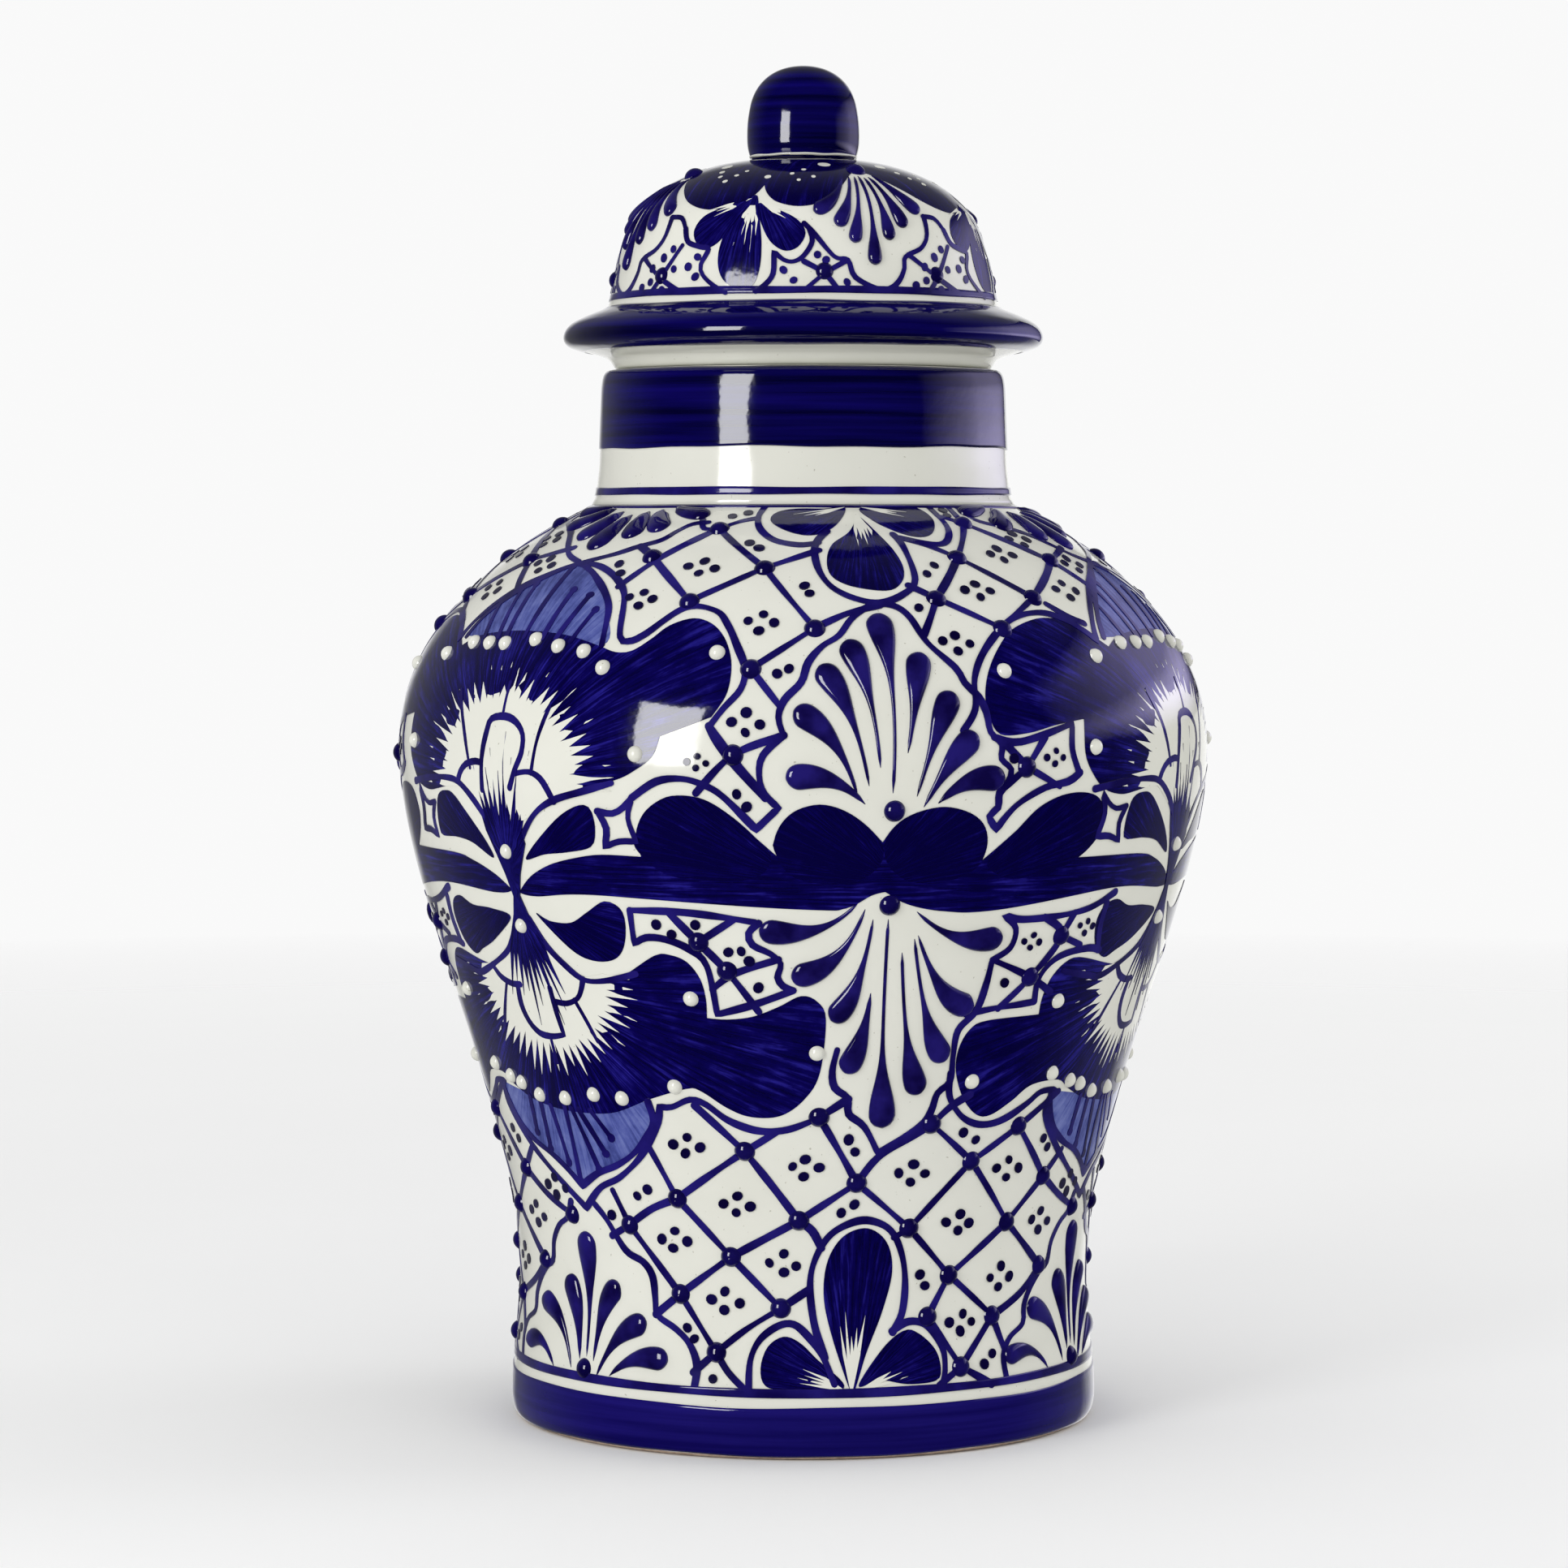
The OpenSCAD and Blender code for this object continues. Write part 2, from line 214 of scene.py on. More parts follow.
def new_piece(name, body, verts, faces, material):
    """A smooth-shaded mesh piece that rides on a body."""
    mesh = bpy.data.meshes.new(name)
    mesh.from_pydata([tuple(v) for v in verts], [], [tuple(f) for f in faces])
    mesh.validate()
    mesh.polygons.foreach_set("use_smooth", [True] * len(mesh.polygons))
    mesh.materials.append(material)
    piece = bpy.data.objects.new(name, mesh)
    bpy.context.scene.collection.objects.link(piece)
    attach(piece, body)
    return piece


def turned_piece(name, body, outline, segments, material):
    """A solid of revolution: an open outline is closed on the axis, and a closed one makes a ring."""
    rings = outline.rings()
    closed = outline.closed
    turns = np.radians(np.arange(segments) * 360 / segments)
    verts = np.concatenate([
        np.stack([r * np.cos(turns), r * np.sin(turns), np.full(segments, z)], axis=1) for r, z in rings
    ]) * MM
    faces = []
    count = len(rings)
    for i in range(count if closed else count - 1):
        low, high = i * segments, (i + 1) % count * segments
        for j in range(segments):
            k = (j + 1) % segments
            faces.append((low + j, low + k, high + k, high + j))
    if not closed:
        faces.append(tuple(reversed(range(segments))))
        faces.append(tuple(range((count - 1) * segments, count * segments)))
    piece = new_piece(name, body, verts, faces, material)
    joined = bmesh.new()
    joined.from_mesh(piece.data)
    bmesh.ops.remove_doubles(joined, verts=joined.verts, dist=2e-5)
    bmesh.ops.recalc_face_normals(joined, faces=joined.faces)
    joined.to_mesh(piece.data)
    joined.free()
    return piece


# ---------------------------------------------------------------- brush shapes in (turn, rise)

SHEET_DEGREE = 2.0  # mm per degree on the flat sheet that the shapes are cut from


def curve(points, closed=False, step=1.5):
    """A smooth curve through the points. A point given twice in a row is a corner."""
    runs = [[]]
    for i, point in enumerate(points):
        runs[-1].append(point)
        if i and points[i - 1] == point:
            runs[-1].pop()
            runs.append([point])
    if closed:
        if len(runs) == 1:
            runs[0].append(points[0])
        else:
            runs[-1] += runs.pop(0)
    drawn = []
    for run in runs:
        loop = closed and len(runs) == 1
        for i in range(len(run) - 1):
            a = run[i - 1] if i else (run[-2] if loop else run[0])
            b, c = run[i], run[i + 1]
            d = run[i + 2] if i + 2 < len(run) else (run[1] if loop else run[-1])
            length = math.hypot((c[0] - b[0]) * SHEET_DEGREE, c[1] - b[1])
            pieces = max(2, round(length / step))
            for j in range(pieces):
                t = j / pieces
                drawn.append(tuple(
                    0.5 * (2 * b[k] + (c[k] - a[k]) * t + (2 * a[k] - 5 * b[k] + 4 * c[k] - d[k]) * t ** 2
                           + (3 * b[k] - a[k] - 3 * c[k] + d[k]) * t ** 3)
                    for k in (0, 1)))
    if not closed:
        drawn.append(tuple(points[-1]))
    return drawn


def brush_line(wall, points, width, rng, step=1.6):
    """Outline of a hand-drawn line: an even width with a slight swell, and round ends."""
    path = np.array(curve(points, step=step))
    degree = np.array([wall.degree(rise) for rise in path[:, 1]])
    ahead = np.gradient(path, axis=0)
    ahead[:, 0] *= degree
    ahead /= np.maximum(np.hypot(ahead[:, 0], ahead[:, 1]), 1e-9)[:, None]
    side = np.stack([-ahead[:, 1], ahead[:, 0]], axis=1)
    phase = rng.uniform(0, 6.28)
    travelled = along(np.stack([path[:, 0] * degree, path[:, 1]], axis=1))
    swell = 0.13 * np.sin(travelled / 6 + phase) + 0.07 * np.sin(travelled / 2.3 + 2 * phase)
    half = width / 2 * (1 + swell)
    offset = side * half[:, None]
    offset[:, 0] /= degree
    left, right = path + offset, path - offset

    def cap(i, sign):
        """Half circle round the line's end, from its left to its right."""
        points = []
        for k in range(1, 5):
            a = math.pi * k / 5
            x = side[i] * math.cos(a) * half[i] + sign * ahead[i] * math.sin(a) * half[i]
            points.append((path[i][0] + x[0] / degree[i], path[i][1] + x[1]))
        return points

    outline = [tuple(p) for p in left] + cap(-1, 1) + [tuple(p) for p in right[::-1]]
    return outline + cap(0, -1)[::-1]


def dot(wall, turn, rise, radius, rng):
    """Outline of a dot set down with the brush's tip, a little longer than wide."""
    lean = rng.uniform(0, math.pi)
    stretch = rng.uniform(1.0, 1.1)
    points = []
    for i in range(12):
        a = 2 * math.pi * i / 12
        x, y = radius * stretch * math.cos(a), radius / stretch * math.sin(a)
        u = x * math.cos(lean) - y * math.sin(lean)
        v = x * math.sin(lean) + y * math.cos(lean)
        points.append((turn + u / wall.degree(rise), rise + v))
    return points


def feather(wall, centre, inner, outer, angles, spikes, rng, ragged):
    """A zigzag edge round a centre, as a dry brush leaves it. inner and outer are (across, up) radii in
    mm, and ragged is how far the spikes' lengths differ."""
    first, last = (math.radians(a) for a in angles)
    points = []
    for i in range(2 * spikes + 1):
        jitter = rng.uniform(-0.22, 0.22) if 0 < i < 2 * spikes else 0
        a = first + (last - first) * (i + jitter) / (2 * spikes)
        across, up = outer if i % 2 else inner
        reach = 1 + rng.uniform(-ragged, ragged) * (0.35 if i % 2 else 0.2)
        rise = centre[1] + up * reach * math.sin(a)
        points.append((centre[0] + across * reach * math.cos(a) / wall.degree(rise), rise))
    return points


# ---------------------------------------------------------------- painted layers

def body_of(wall):
    return "lid" if wall in (lid_wall, knob_wall) else "jar"


class Shape:
    """One flat outline, with the pole that its brush streaks run from and its tone from 0 to 1."""

    NEAREST = 40.0  # mm from the pole at which the streaks have their own width

    def __init__(self, outline, pole=(0, 0), tone=0.5):
        self.outline = outline
        self.pole = pole
        self.tone = tone
        self.middle = np.mean(outline, axis=0)

    def sweep(self, wall, points):
        """Where points lie on the brush's sweep: mm across the streaks, and mm along them."""
        def offsets(places):
            across = (places[:, 0] - self.pole[0]) * wall.degree(places[:, 1])
            return across, places[:, 1] - self.pole[1]

        across, up = offsets(points)
        middle_across, middle_up = offsets(self.middle[None, :])
        swing = np.arctan2(up, across) - math.atan2(middle_up[0], middle_across[0])
        swing = (swing + math.pi) % (2 * math.pi) - math.pi
        spread = max(self.NEAREST, math.hypot(middle_across[0], middle_up[0]))
        return np.stack([swing * spread, np.hypot(across, up)], axis=1)


def patches(outlines, tone):
    """Closed brush marks, each given as its points and its streaks' pole."""
    return [Shape(curve(points, closed=True), pole, tone) for points, pole in outlines]


def strokes(wall, lines, width, rng, tone=0.5):
    """Brush lines of one width."""
    return [Shape(brush_line(wall, list(points), width, rng), tone=tone) for points in lines]


def flames(wall, marks, rng, ragged):
    """White flames that a dry brush leaves at the petals' roots, each given by feather's measures."""
    return [Shape([root] + feather(wall, root, inner, outer, angles, spikes, rng, ragged))
            for root, inner, outer, angles, spikes in marks]


def dots(wall, places, radii, rng):
    """Dots at (turn, rise) places, with radii between the two given in mm."""
    return [Shape(dot(wall, *place, rng.uniform(*radii), rng)) for place in places]


def encloses(outline, points):
    """Which of the points lie inside the outline, even where the outline crosses itself."""
    turns = np.zeros(len(points), int)
    for a, b in zip(outline, np.roll(outline, -1, axis=0)):
        side = (b[0] - a[0]) * (points[:, 1] - a[1]) - (points[:, 0] - a[0]) * (b[1] - a[1])
        turns += (a[1] <= points[:, 1]) & (b[1] > points[:, 1]) & (side > 0)
        turns -= (a[1] > points[:, 1]) & (b[1] <= points[:, 1]) & (side < 0)
    return turns != 0


def cut_sheet(shapes, spacing):
    """Triangles that cover the shapes, as (turn, rise) points, faces and each face's topmost shape."""
    verts, edges = [], []
    for shape in shapes:
        first, count = len(verts), len(shape.outline)
        verts += [Vector((turn * SHEET_DEGREE, rise)) for turn, rise in shape.outline]
        edges += [(first + i, first + (i + 1) % count) for i in range(count)]
    low_x, high_x = min(v.x for v in verts), max(v.x for v in verts)
    low_y, high_y = min(v.y for v in verts), max(v.y for v in verts)
    for i in range(int((high_x - low_x) / spacing)):
        for j in range(int((high_y - low_y) / spacing)):
            shift = 0.5 * (j % 2)
            verts.append(Vector((low_x + (i + 0.5 + shift) * spacing, low_y + (j + 0.5) * spacing)))
    points, _, faces, *_ = delaunay_2d_cdt(verts, edges, [], 0, 1e-4)
    points = np.array([(p.x / SHEET_DEGREE, p.y) for p in points])
    centres = points[np.array(faces)].mean(axis=1)
    owners = np.full(len(faces), -1)
    for i, shape in enumerate(shapes):
        outline = np.array(shape.outline)
        boxed = (centres >= outline.min(axis=0)) & (centres <= outline.max(axis=0))
        near = np.flatnonzero(boxed.all(axis=1))
        owners[near[encloses(outline, centres[near])]] = i
    return points, [face for face, owner in zip(faces, owners) if owner >= 0], owners[owners >= 0]


def rim_edges(faces):
    """Edges that only one face has, in that face's direction."""
    edges = {edge for face in faces for edge in zip(face, face[1:] + face[:1])}
    return [(a, b) for a, b in edges if (b, a) not in edges]


def paint(name, wall, shapes, columns, lift, material, spacing=4.0):
    """A layer of painted shapes, repeated on the wall at each column. Its rims go down into the clay."""
    points, faces, owners = cut_sheet(shapes, spacing)
    used = sorted({i for face in faces for i in face})
    renumber = {old: new for new, old in enumerate(used)}
    points = points[used]
    faces = [tuple(renumber[i] for i in face) for face in faces]
    sweeps = [shapes[owner].sweep(wall, points[list(face)]) for face, owner in zip(faces, owners)]
    rim = sorted(rim_edges(faces))
    rim_points = sorted({i for edge in rim for i in edge})
    sunk = {old: len(points) + new for new, old in enumerate(rim_points)}
    verts, all_faces, normals, streaks, tones = [], [], [], [], []
    for turn, stretch in columns:
        first = len(verts)
        turns = turn + points[:, 0] * stretch
        verts += list(wall.place(turns, points[:, 1], lift))
        verts += list(wall.place(turns[rim_points], points[rim_points, 1], SUNK))
        outward = wall.normal(turns, points[:, 1])
        for face, owner, sweep in zip(faces, owners, sweeps):
            all_faces.append(tuple(first + i for i in face))
            tones.append(shapes[owner].tone)
            normals += [outward[i] for i in face]
            streaks += list(sweep)
        for a, b in rim:
            all_faces.append((first + b, first + a, first + sunk[a], first + sunk[b]))
            tones.append(0.5)
            edge = Vector(verts[first + b] - verts[first + a])
            side = edge.cross(Vector(outward[a])).normalized()
            normals += [side] * 4
            streaks += [(0.0, 0.0)] * 4
    piece = new_piece(name, body_of(wall), verts, all_faces, material)
    mesh = piece.data
    mesh.attributes.new("tone", "FLOAT", "FACE").data.foreach_set("value", tones)
    mesh.uv_layers.new(name="streaks").data.foreach_set("uv", np.array(streaks).ravel())
    mesh.normals_split_custom_set([tuple(n) for n in normals])


NARROW_BAND = 3.0
BAND_ROW = 0.8


def band(name, wall, bottom, top, material, segments=240):
    """A painted ring between two heights in mm, with slightly uneven edges."""
    rng = random.Random(name)
    wander = 0.1 if top - bottom < NARROW_BAND else 0.2
    low, high = wall.rise_at(bottom), wall.rise_at(top)
    phases = [rng.uniform(0, 6.28) for _ in range(4)]
    rows = int((high - low) / BAND_ROW) + 2
    turns = np.arange(segments) * 360 / segments

    def sway(waves, more_waves, phase, more_phase):
        angles = np.radians(turns)
        return wander * (np.sin(angles * waves + phase) + 0.6 * np.sin(angles * more_waves + more_phase))

    low_edge = low + sway(5, 13, *phases[:2])
    high_edge = high + sway(6, 11, *phases[2:])
    verts = [wall.place(turns, low_edge, SUNK)]
    for share in np.arange(rows) / (rows - 1):
        verts.append(wall.place(turns, low_edge * (1 - share) + high_edge * share, LINE_LIFT))
    verts.append(wall.place(turns, high_edge, SUNK))
    faces = []
    for i in range(rows + 1):
        here, above = i * segments, (i + 1) * segments
        for j in range(segments):
            k = (j + 1) % segments
            faces.append((here + j, here + k, above + k, above + j))
    new_piece(name, body_of(wall), np.concatenate(verts), faces, material)


# ---------------------------------------------------------------- materials

GLAZE_ROUGHNESS = 0.07
GLAZE_IOR = 1.5
BLACK = (0, 0, 0)
BRIGHT = (1, 1, 1)


class Nodes:
    """Builds one material's node tree."""

    def __init__(self, name):
        self.material = bpy.data.materials.new(name)
        self.material.use_nodes = True
        self.tree = self.material.node_tree
        self.shader = self.tree.nodes["Principled BSDF"]

    def add(self, kind, **settings):
        """A new node. A setting whose name starts with in_ is an input's value."""
        node = self.tree.nodes.new(kind)
        for key, value in settings.items():
            if key.startswith("in_"):
                node.inputs[key[3:].replace("_", " ")].default_value = value
            else:
                setattr(node, key, value)
        return node

    def link(self, source, target):
        self.tree.links.new(source, target)

    def coords(self):
        return self.add("ShaderNodeTexCoord").outputs["Object"]

    def noise(self, vector, scale, detail=3.0, rough=0.5, warp=0.0):
        node = self.add("ShaderNodeTexNoise", in_Scale=scale, in_Detail=detail, in_Roughness=rough,
                        in_Distortion=warp)
        self.link(vector, node.inputs["Vector"])
        return node.outputs["Fac"]

    def ramp(self, factor, *stops):
        """A colour ramp with (place, colour) stops."""
        node = self.add("ShaderNodeValToRGB")
        elements = node.color_ramp.elements
        while len(elements) < len(stops):
            elements.new(0.5)
        for element, (place, colour) in zip(elements, stops):
            element.position = place
            element.color = (*colour, 1)
        self.link(factor, node.inputs["Fac"])
        return node.outputs["Color"]

    def maths(self, operation, a, b):
        node = self.add("ShaderNodeMath", operation=operation)
        for socket, value in zip(node.inputs, (a, b)):
            if isinstance(value, (int, float)):
                socket.default_value = value
            else:
                self.link(value, socket)
        return node.outputs[0]

    def mix(self, factor, a, b, blend="MIX"):
        node = self.add("ShaderNodeMix", data_type="RGBA", blend_type=blend)
        sockets = {s.name: s for s in node.inputs if s.enabled and s.type in ("RGBA", "VALUE")}
        for name, value in (("Factor", factor), ("A", a), ("B", b)):
            socket = sockets[name]
            if isinstance(value, (int, float)):
                socket.default_value = value
            elif isinstance(value, tuple):
                socket.default_value = (*value, 1)
            else:
                self.link(value, socket)
        return next(s for s in node.outputs if s.enabled)

    def bump(self, height, strength, distance):
        node = self.add("ShaderNodeBump", in_Strength=strength, in_Distance=distance)
        self.link(height, node.inputs["Height"])
        self.link(node.outputs["Normal"], self.shader.inputs["Normal"])

    def glaze(self, colour):
        """Finishes a fired glaze: the painted colour under a glossy skin."""
        self.link(colour, self.shader.inputs["Base Color"])
        if not self.shader.inputs["Roughness"].is_linked:
            self.shader.inputs["Roughness"].default_value = GLAZE_ROUGHNESS
        self.shader.inputs["IOR"].default_value = GLAZE_IOR
        return self.material


def glaze_ripple(nodes, strength=0.25):
    """Soft unevenness of the glaze, a few mm to a few cm across."""
    coords = nodes.coords()
    broad = nodes.noise(coords, 45, detail=1)
    fine = nodes.noise(coords, 260, detail=2)
    nodes.bump(nodes.maths("ADD", broad, nodes.maths("MULTIPLY", fine, 0.12)), strength, 0.0012)


def scaled(nodes, vector, scale):
    """The vector, with each of its three numbers multiplied by scale's."""
    node = nodes.add("ShaderNodeVectorMath", operation="MULTIPLY")
    nodes.link(vector, node.inputs[0])
    node.inputs[1].default_value = scale
    return node.outputs[0]


def white_glaze():
    """Tin glaze with faint clouds and a few pinholes, worn to bare clay where the foot stands."""
    nodes = Nodes("tin_white_glaze")
    coords = nodes.coords()
    cloud = nodes.noise(coords, 14, detail=4, rough=0.6)
    base = nodes.ramp(cloud, (0.3, (0.68, 0.68, 0.61)), (0.7, (0.74, 0.74, 0.675)))
    speck = nodes.noise(coords, 900, detail=1)
    pinhole = (0.45, 0.42, 0.36)
    specks = nodes.ramp(speck, (0.0, pinhole), (0.215, pinhole), (0.235, BRIGHT))
    glazed = nodes.mix(0.6, base, specks, "MULTIPLY")
    height = nodes.add("ShaderNodeSeparateXYZ")
    nodes.link(coords, height.inputs[0])
    grain = nodes.noise(coords, 600, detail=3)
    clay = nodes.ramp(grain, (0.3, (0.36, 0.26, 0.19)), (0.7, (0.55, 0.43, 0.33)))
    edge = nodes.maths("ADD", height.outputs["Z"], nodes.maths("MULTIPLY", nodes.noise(coords, 60), 0.0012))
    bare = nodes.ramp(nodes.maths("MULTIPLY", edge, 100), (0.165, BRIGHT), (0.185, BLACK))
    roughness = nodes.ramp(bare, (0, (0.10, 0.10, 0.10)), (1, (0.8, 0.8, 0.8)))
    nodes.link(roughness, nodes.shader.inputs["Roughness"])
    glaze_ripple(nodes)
    return nodes.glaze(nodes.mix(bare, glazed, clay))


def brushed_cobalt(name, deep, middle, light, mottle=0.3, span=(0.40, 0.50, 0.64)):
    """Cobalt laid on with a loaded brush: streaks along the sweep, and a tone for each stroke."""
    nodes = Nodes(name)
    sweep = nodes.add("ShaderNodeUVMap", uv_map="streaks").outputs["UV"]
    hairs = nodes.noise(scaled(nodes, sweep, (0.85, 0.045, 1)), 1.0, detail=4, rough=0.65, warp=0.4)
    pools = nodes.noise(nodes.coords(), 90, detail=5, rough=0.65)
    tone = nodes.add("ShaderNodeAttribute", attribute_name="tone").outputs["Fac"]
    streaks, clouds = nodes.maths("MULTIPLY", hairs, 1 - mottle), nodes.maths("MULTIPLY", pools, mottle)
    toned = nodes.maths("MULTIPLY", nodes.maths("SUBTRACT", tone, 0.5), 0.35)
    level = nodes.maths("ADD", nodes.maths("ADD", streaks, clouds), toned)
    colour = nodes.ramp(level, *zip(span, (deep, middle, light)))
    glaze_ripple(nodes)
    return nodes.glaze(colour)


def pooled_cobalt(name, deep, light, size=70, stretch=(1, 1, 1)):
    """Cobalt in lines, bands and drops: darker where it pools."""
    nodes = Nodes(name)
    pools = nodes.noise(scaled(nodes, nodes.coords(), stretch), size, detail=4)
    colour = nodes.ramp(pools, (0.36, deep), (0.66, light))
    glaze_ripple(nodes)
    return nodes.glaze(colour)


def soft_stage():
    """Matt, nearly white, and clear towards the floor's edge."""
    nodes = Nodes("pale_floor")
    coords = nodes.coords()
    cloud = nodes.noise(coords, 3, detail=2)
    nodes.link(nodes.ramp(cloud, (0.2, (0.94, 0.94, 0.94)), (0.8, (0.97, 0.97, 0.97))),
               nodes.shader.inputs["Base Color"])
    nodes.shader.inputs["Roughness"].default_value = 0.85
    away = nodes.add("ShaderNodeVectorMath", operation="LENGTH")
    nodes.link(coords, away.inputs[0])
    near = nodes.ramp(nodes.maths("DIVIDE", away.outputs["Value"], STAGE_SPAN / 2),
                      (0.12, BRIGHT), (0.6, BLACK))
    nodes.link(near, nodes.shader.inputs["Alpha"])
    return nodes.material


WHEEL = (0.12, 0.12, 5)  # stretches a texture round the axis, as the wheel does under the brush

WHITE = white_glaze()
FILL = brushed_cobalt("cobalt_fill", (0.0016, 0.0006, 0.036), (0.0026, 0.0011, 0.070), (0.018, 0.014, 0.24))
WASH = brushed_cobalt("cobalt_wash", (0.035, 0.045, 0.19), (0.075, 0.095, 0.32), (0.15, 0.18, 0.43),
                      mottle=0.55)
LINE = pooled_cobalt("cobalt_line", (0.004, 0.0018, 0.058), (0.015, 0.010, 0.15))
DOT = pooled_cobalt("cobalt_dot", (0.0022, 0.0010, 0.022), (0.005, 0.003, 0.050))
RELIEF = pooled_cobalt("cobalt_relief", (0.004, 0.002, 0.045), (0.014, 0.009, 0.13), size=110)
BEAD = pooled_cobalt("cobalt_bead", (0.003, 0.0015, 0.04), (0.008, 0.005, 0.09), size=110)
DEEP = pooled_cobalt("cobalt_deep_band", (0.0008, 0.0004, 0.022), (0.004, 0.002, 0.10), stretch=WHEEL)
BAND = pooled_cobalt("cobalt_band", (0.0045, 0.0026, 0.080), (0.011, 0.007, 0.14), stretch=WHEEL)


# ---------------------------------------------------------------- the turned pieces

DOME_FOOT = 328.3  # height in mm at which the lid's dome leaves its flange


def heights(node):
    """A CAD node's lowest and highest height in mm."""
    return [corner.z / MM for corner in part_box(node)]


neck_height = heights("jar_body")[1]
dome_height = heights("lid_shell")[1]
collar_foot, rim_height = heights("jar_collar")

jar_outline = Outline("jar_body", crisp=1.0, soft=3.2, soft_span=(8, 262), joint_height=neck_height)
collar_outline = Outline("jar_collar", crisp=0.9, joint_height=neck_height)
lid_outline = Outline("lid_shell", crisp=1.0, soft=2.2, soft_span=(326, 372), joint_height=dome_height)
knob_outline = Outline("lid_knob", crisp=0.9)

jar_wall = jar_outline.wall(0)
collar_wall = collar_outline.wall(collar_foot)
lid_wall = lid_outline.wall(rim_height, zero_height=DOME_FOOT)
knob_wall = knob_outline.wall(heights("lid_knob")[0])

for node, body, outline, segments, material in (
    ("jar_body", "jar", jar_outline, 300, WHITE),
    ("jar_collar", "jar", collar_outline, 240, WHITE),
    ("lid_shell", "lid", lid_outline, 240, WHITE),
    ("lid_knob", "lid", knob_outline, 128, DEEP),
):
    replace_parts(turned_piece(node + "_glazed", body, outline, segments, material), node)


# ---------------------------------------------------------------- painted bands

BANDS = (
    # name, wall, lowest and highest height in mm, material
    ("foot_band", jar_wall, 1.3, 15.1, BAND),
    ("foot_line", jar_wall, 18.0, 20.5, LINE),
    ("neck_line", jar_wall, 269.2, 270.6, LINE),
    ("collar_low_line", collar_wall, 273.0, 275.2, LINE),
    ("collar_band", collar_wall, 286.7, 309.8, DEEP),
    ("lid_flange_band", lid_wall, 315.7, DOME_FOOT, DEEP),
    ("lid_flange_line", lid_wall, 330.3, 332.4, LINE),
    ("knob_ring", knob_wall, 372.7, 373.3, WHITE),
)
for name, wall, bottom, top, material in BANDS:
    band(name, wall, bottom, top, material)


# ---------------------------------------------------------------- blossom

CONTOUR_WIDTH = 2.0

# Rims of the blossom's upper and lower cap
CAP_UP = [(-16.6, 240), (-15.2, 246.3), (-12.2, 253.2), (-7.7, 260.3), (-0.5, 268), (4, 266),
          (8.1, 261.2), (11.7, 255.2), (13.7, 249), (14.8, 238)]
CAP_DOWN = [(18.1, 104), (18.6, 98), (16.7, 93), (13.6, 87.8), (9.5, 83.8), (4.5, 80.7), (-0.2, 76.3),
            (-0.2, 76.3), (-3.6, 80.8), (-7.6, 84.8), (-12.6, 88.2), (-16.7, 92.8), (-19.2, 99),
            (-20.2, 105)]


def cap_washes():
    """Pale caps above and below the blossom."""
    up = curve(CAP_UP + [(14.8, 238), (0, 240), (-16.5, 240)], closed=True)
    down = curve(CAP_DOWN + [(-20, 105), (0, 101), (18, 104)], closed=True)
    return [Shape(up, (0, 205), 0.45), Shape(down, (0, 140), 0.5)]


def cap_strokes(rng):
    """Dark brush strokes that stand in the caps, each with a dot at its tip."""
    strokes_up = (((-10.8, 240), (-13, 253)), ((-7, 240), (-9.5, 257.5)), ((-5, 240), (-6.5, 259.5)),
                  ((-0.8, 240), (-0.6, 267)), ((3.2, 240), (4, 257.5)), ((6, 240), (8.3, 255.5)),
                  ((9, 239), (11, 250)))
    strokes_low = (((-10.5, 102), (-11, 91)), ((-7.4, 101), (-7.6, 86.5)), ((-4.6, 100), (-2.8, 83)),
                   ((-0.7, 100), (-0.4, 78)), ((1, 100), (5, 82)), ((2.6, 100), (7.3, 87)),
                   ((5.5, 100), (9.2, 92)))
    shapes = []
    for root, tip in strokes_up + strokes_low:
        middle = ((root[0] + tip[0]) / 2, (root[1] + tip[1]) / 2)
        shapes += strokes(jar_wall, [(root, middle, tip)], 1.7, rng, tone=0.1)
        shapes.append(Shape(dot(jar_wall, *tip, 1.35, rng), tone=0.0))
    return shapes


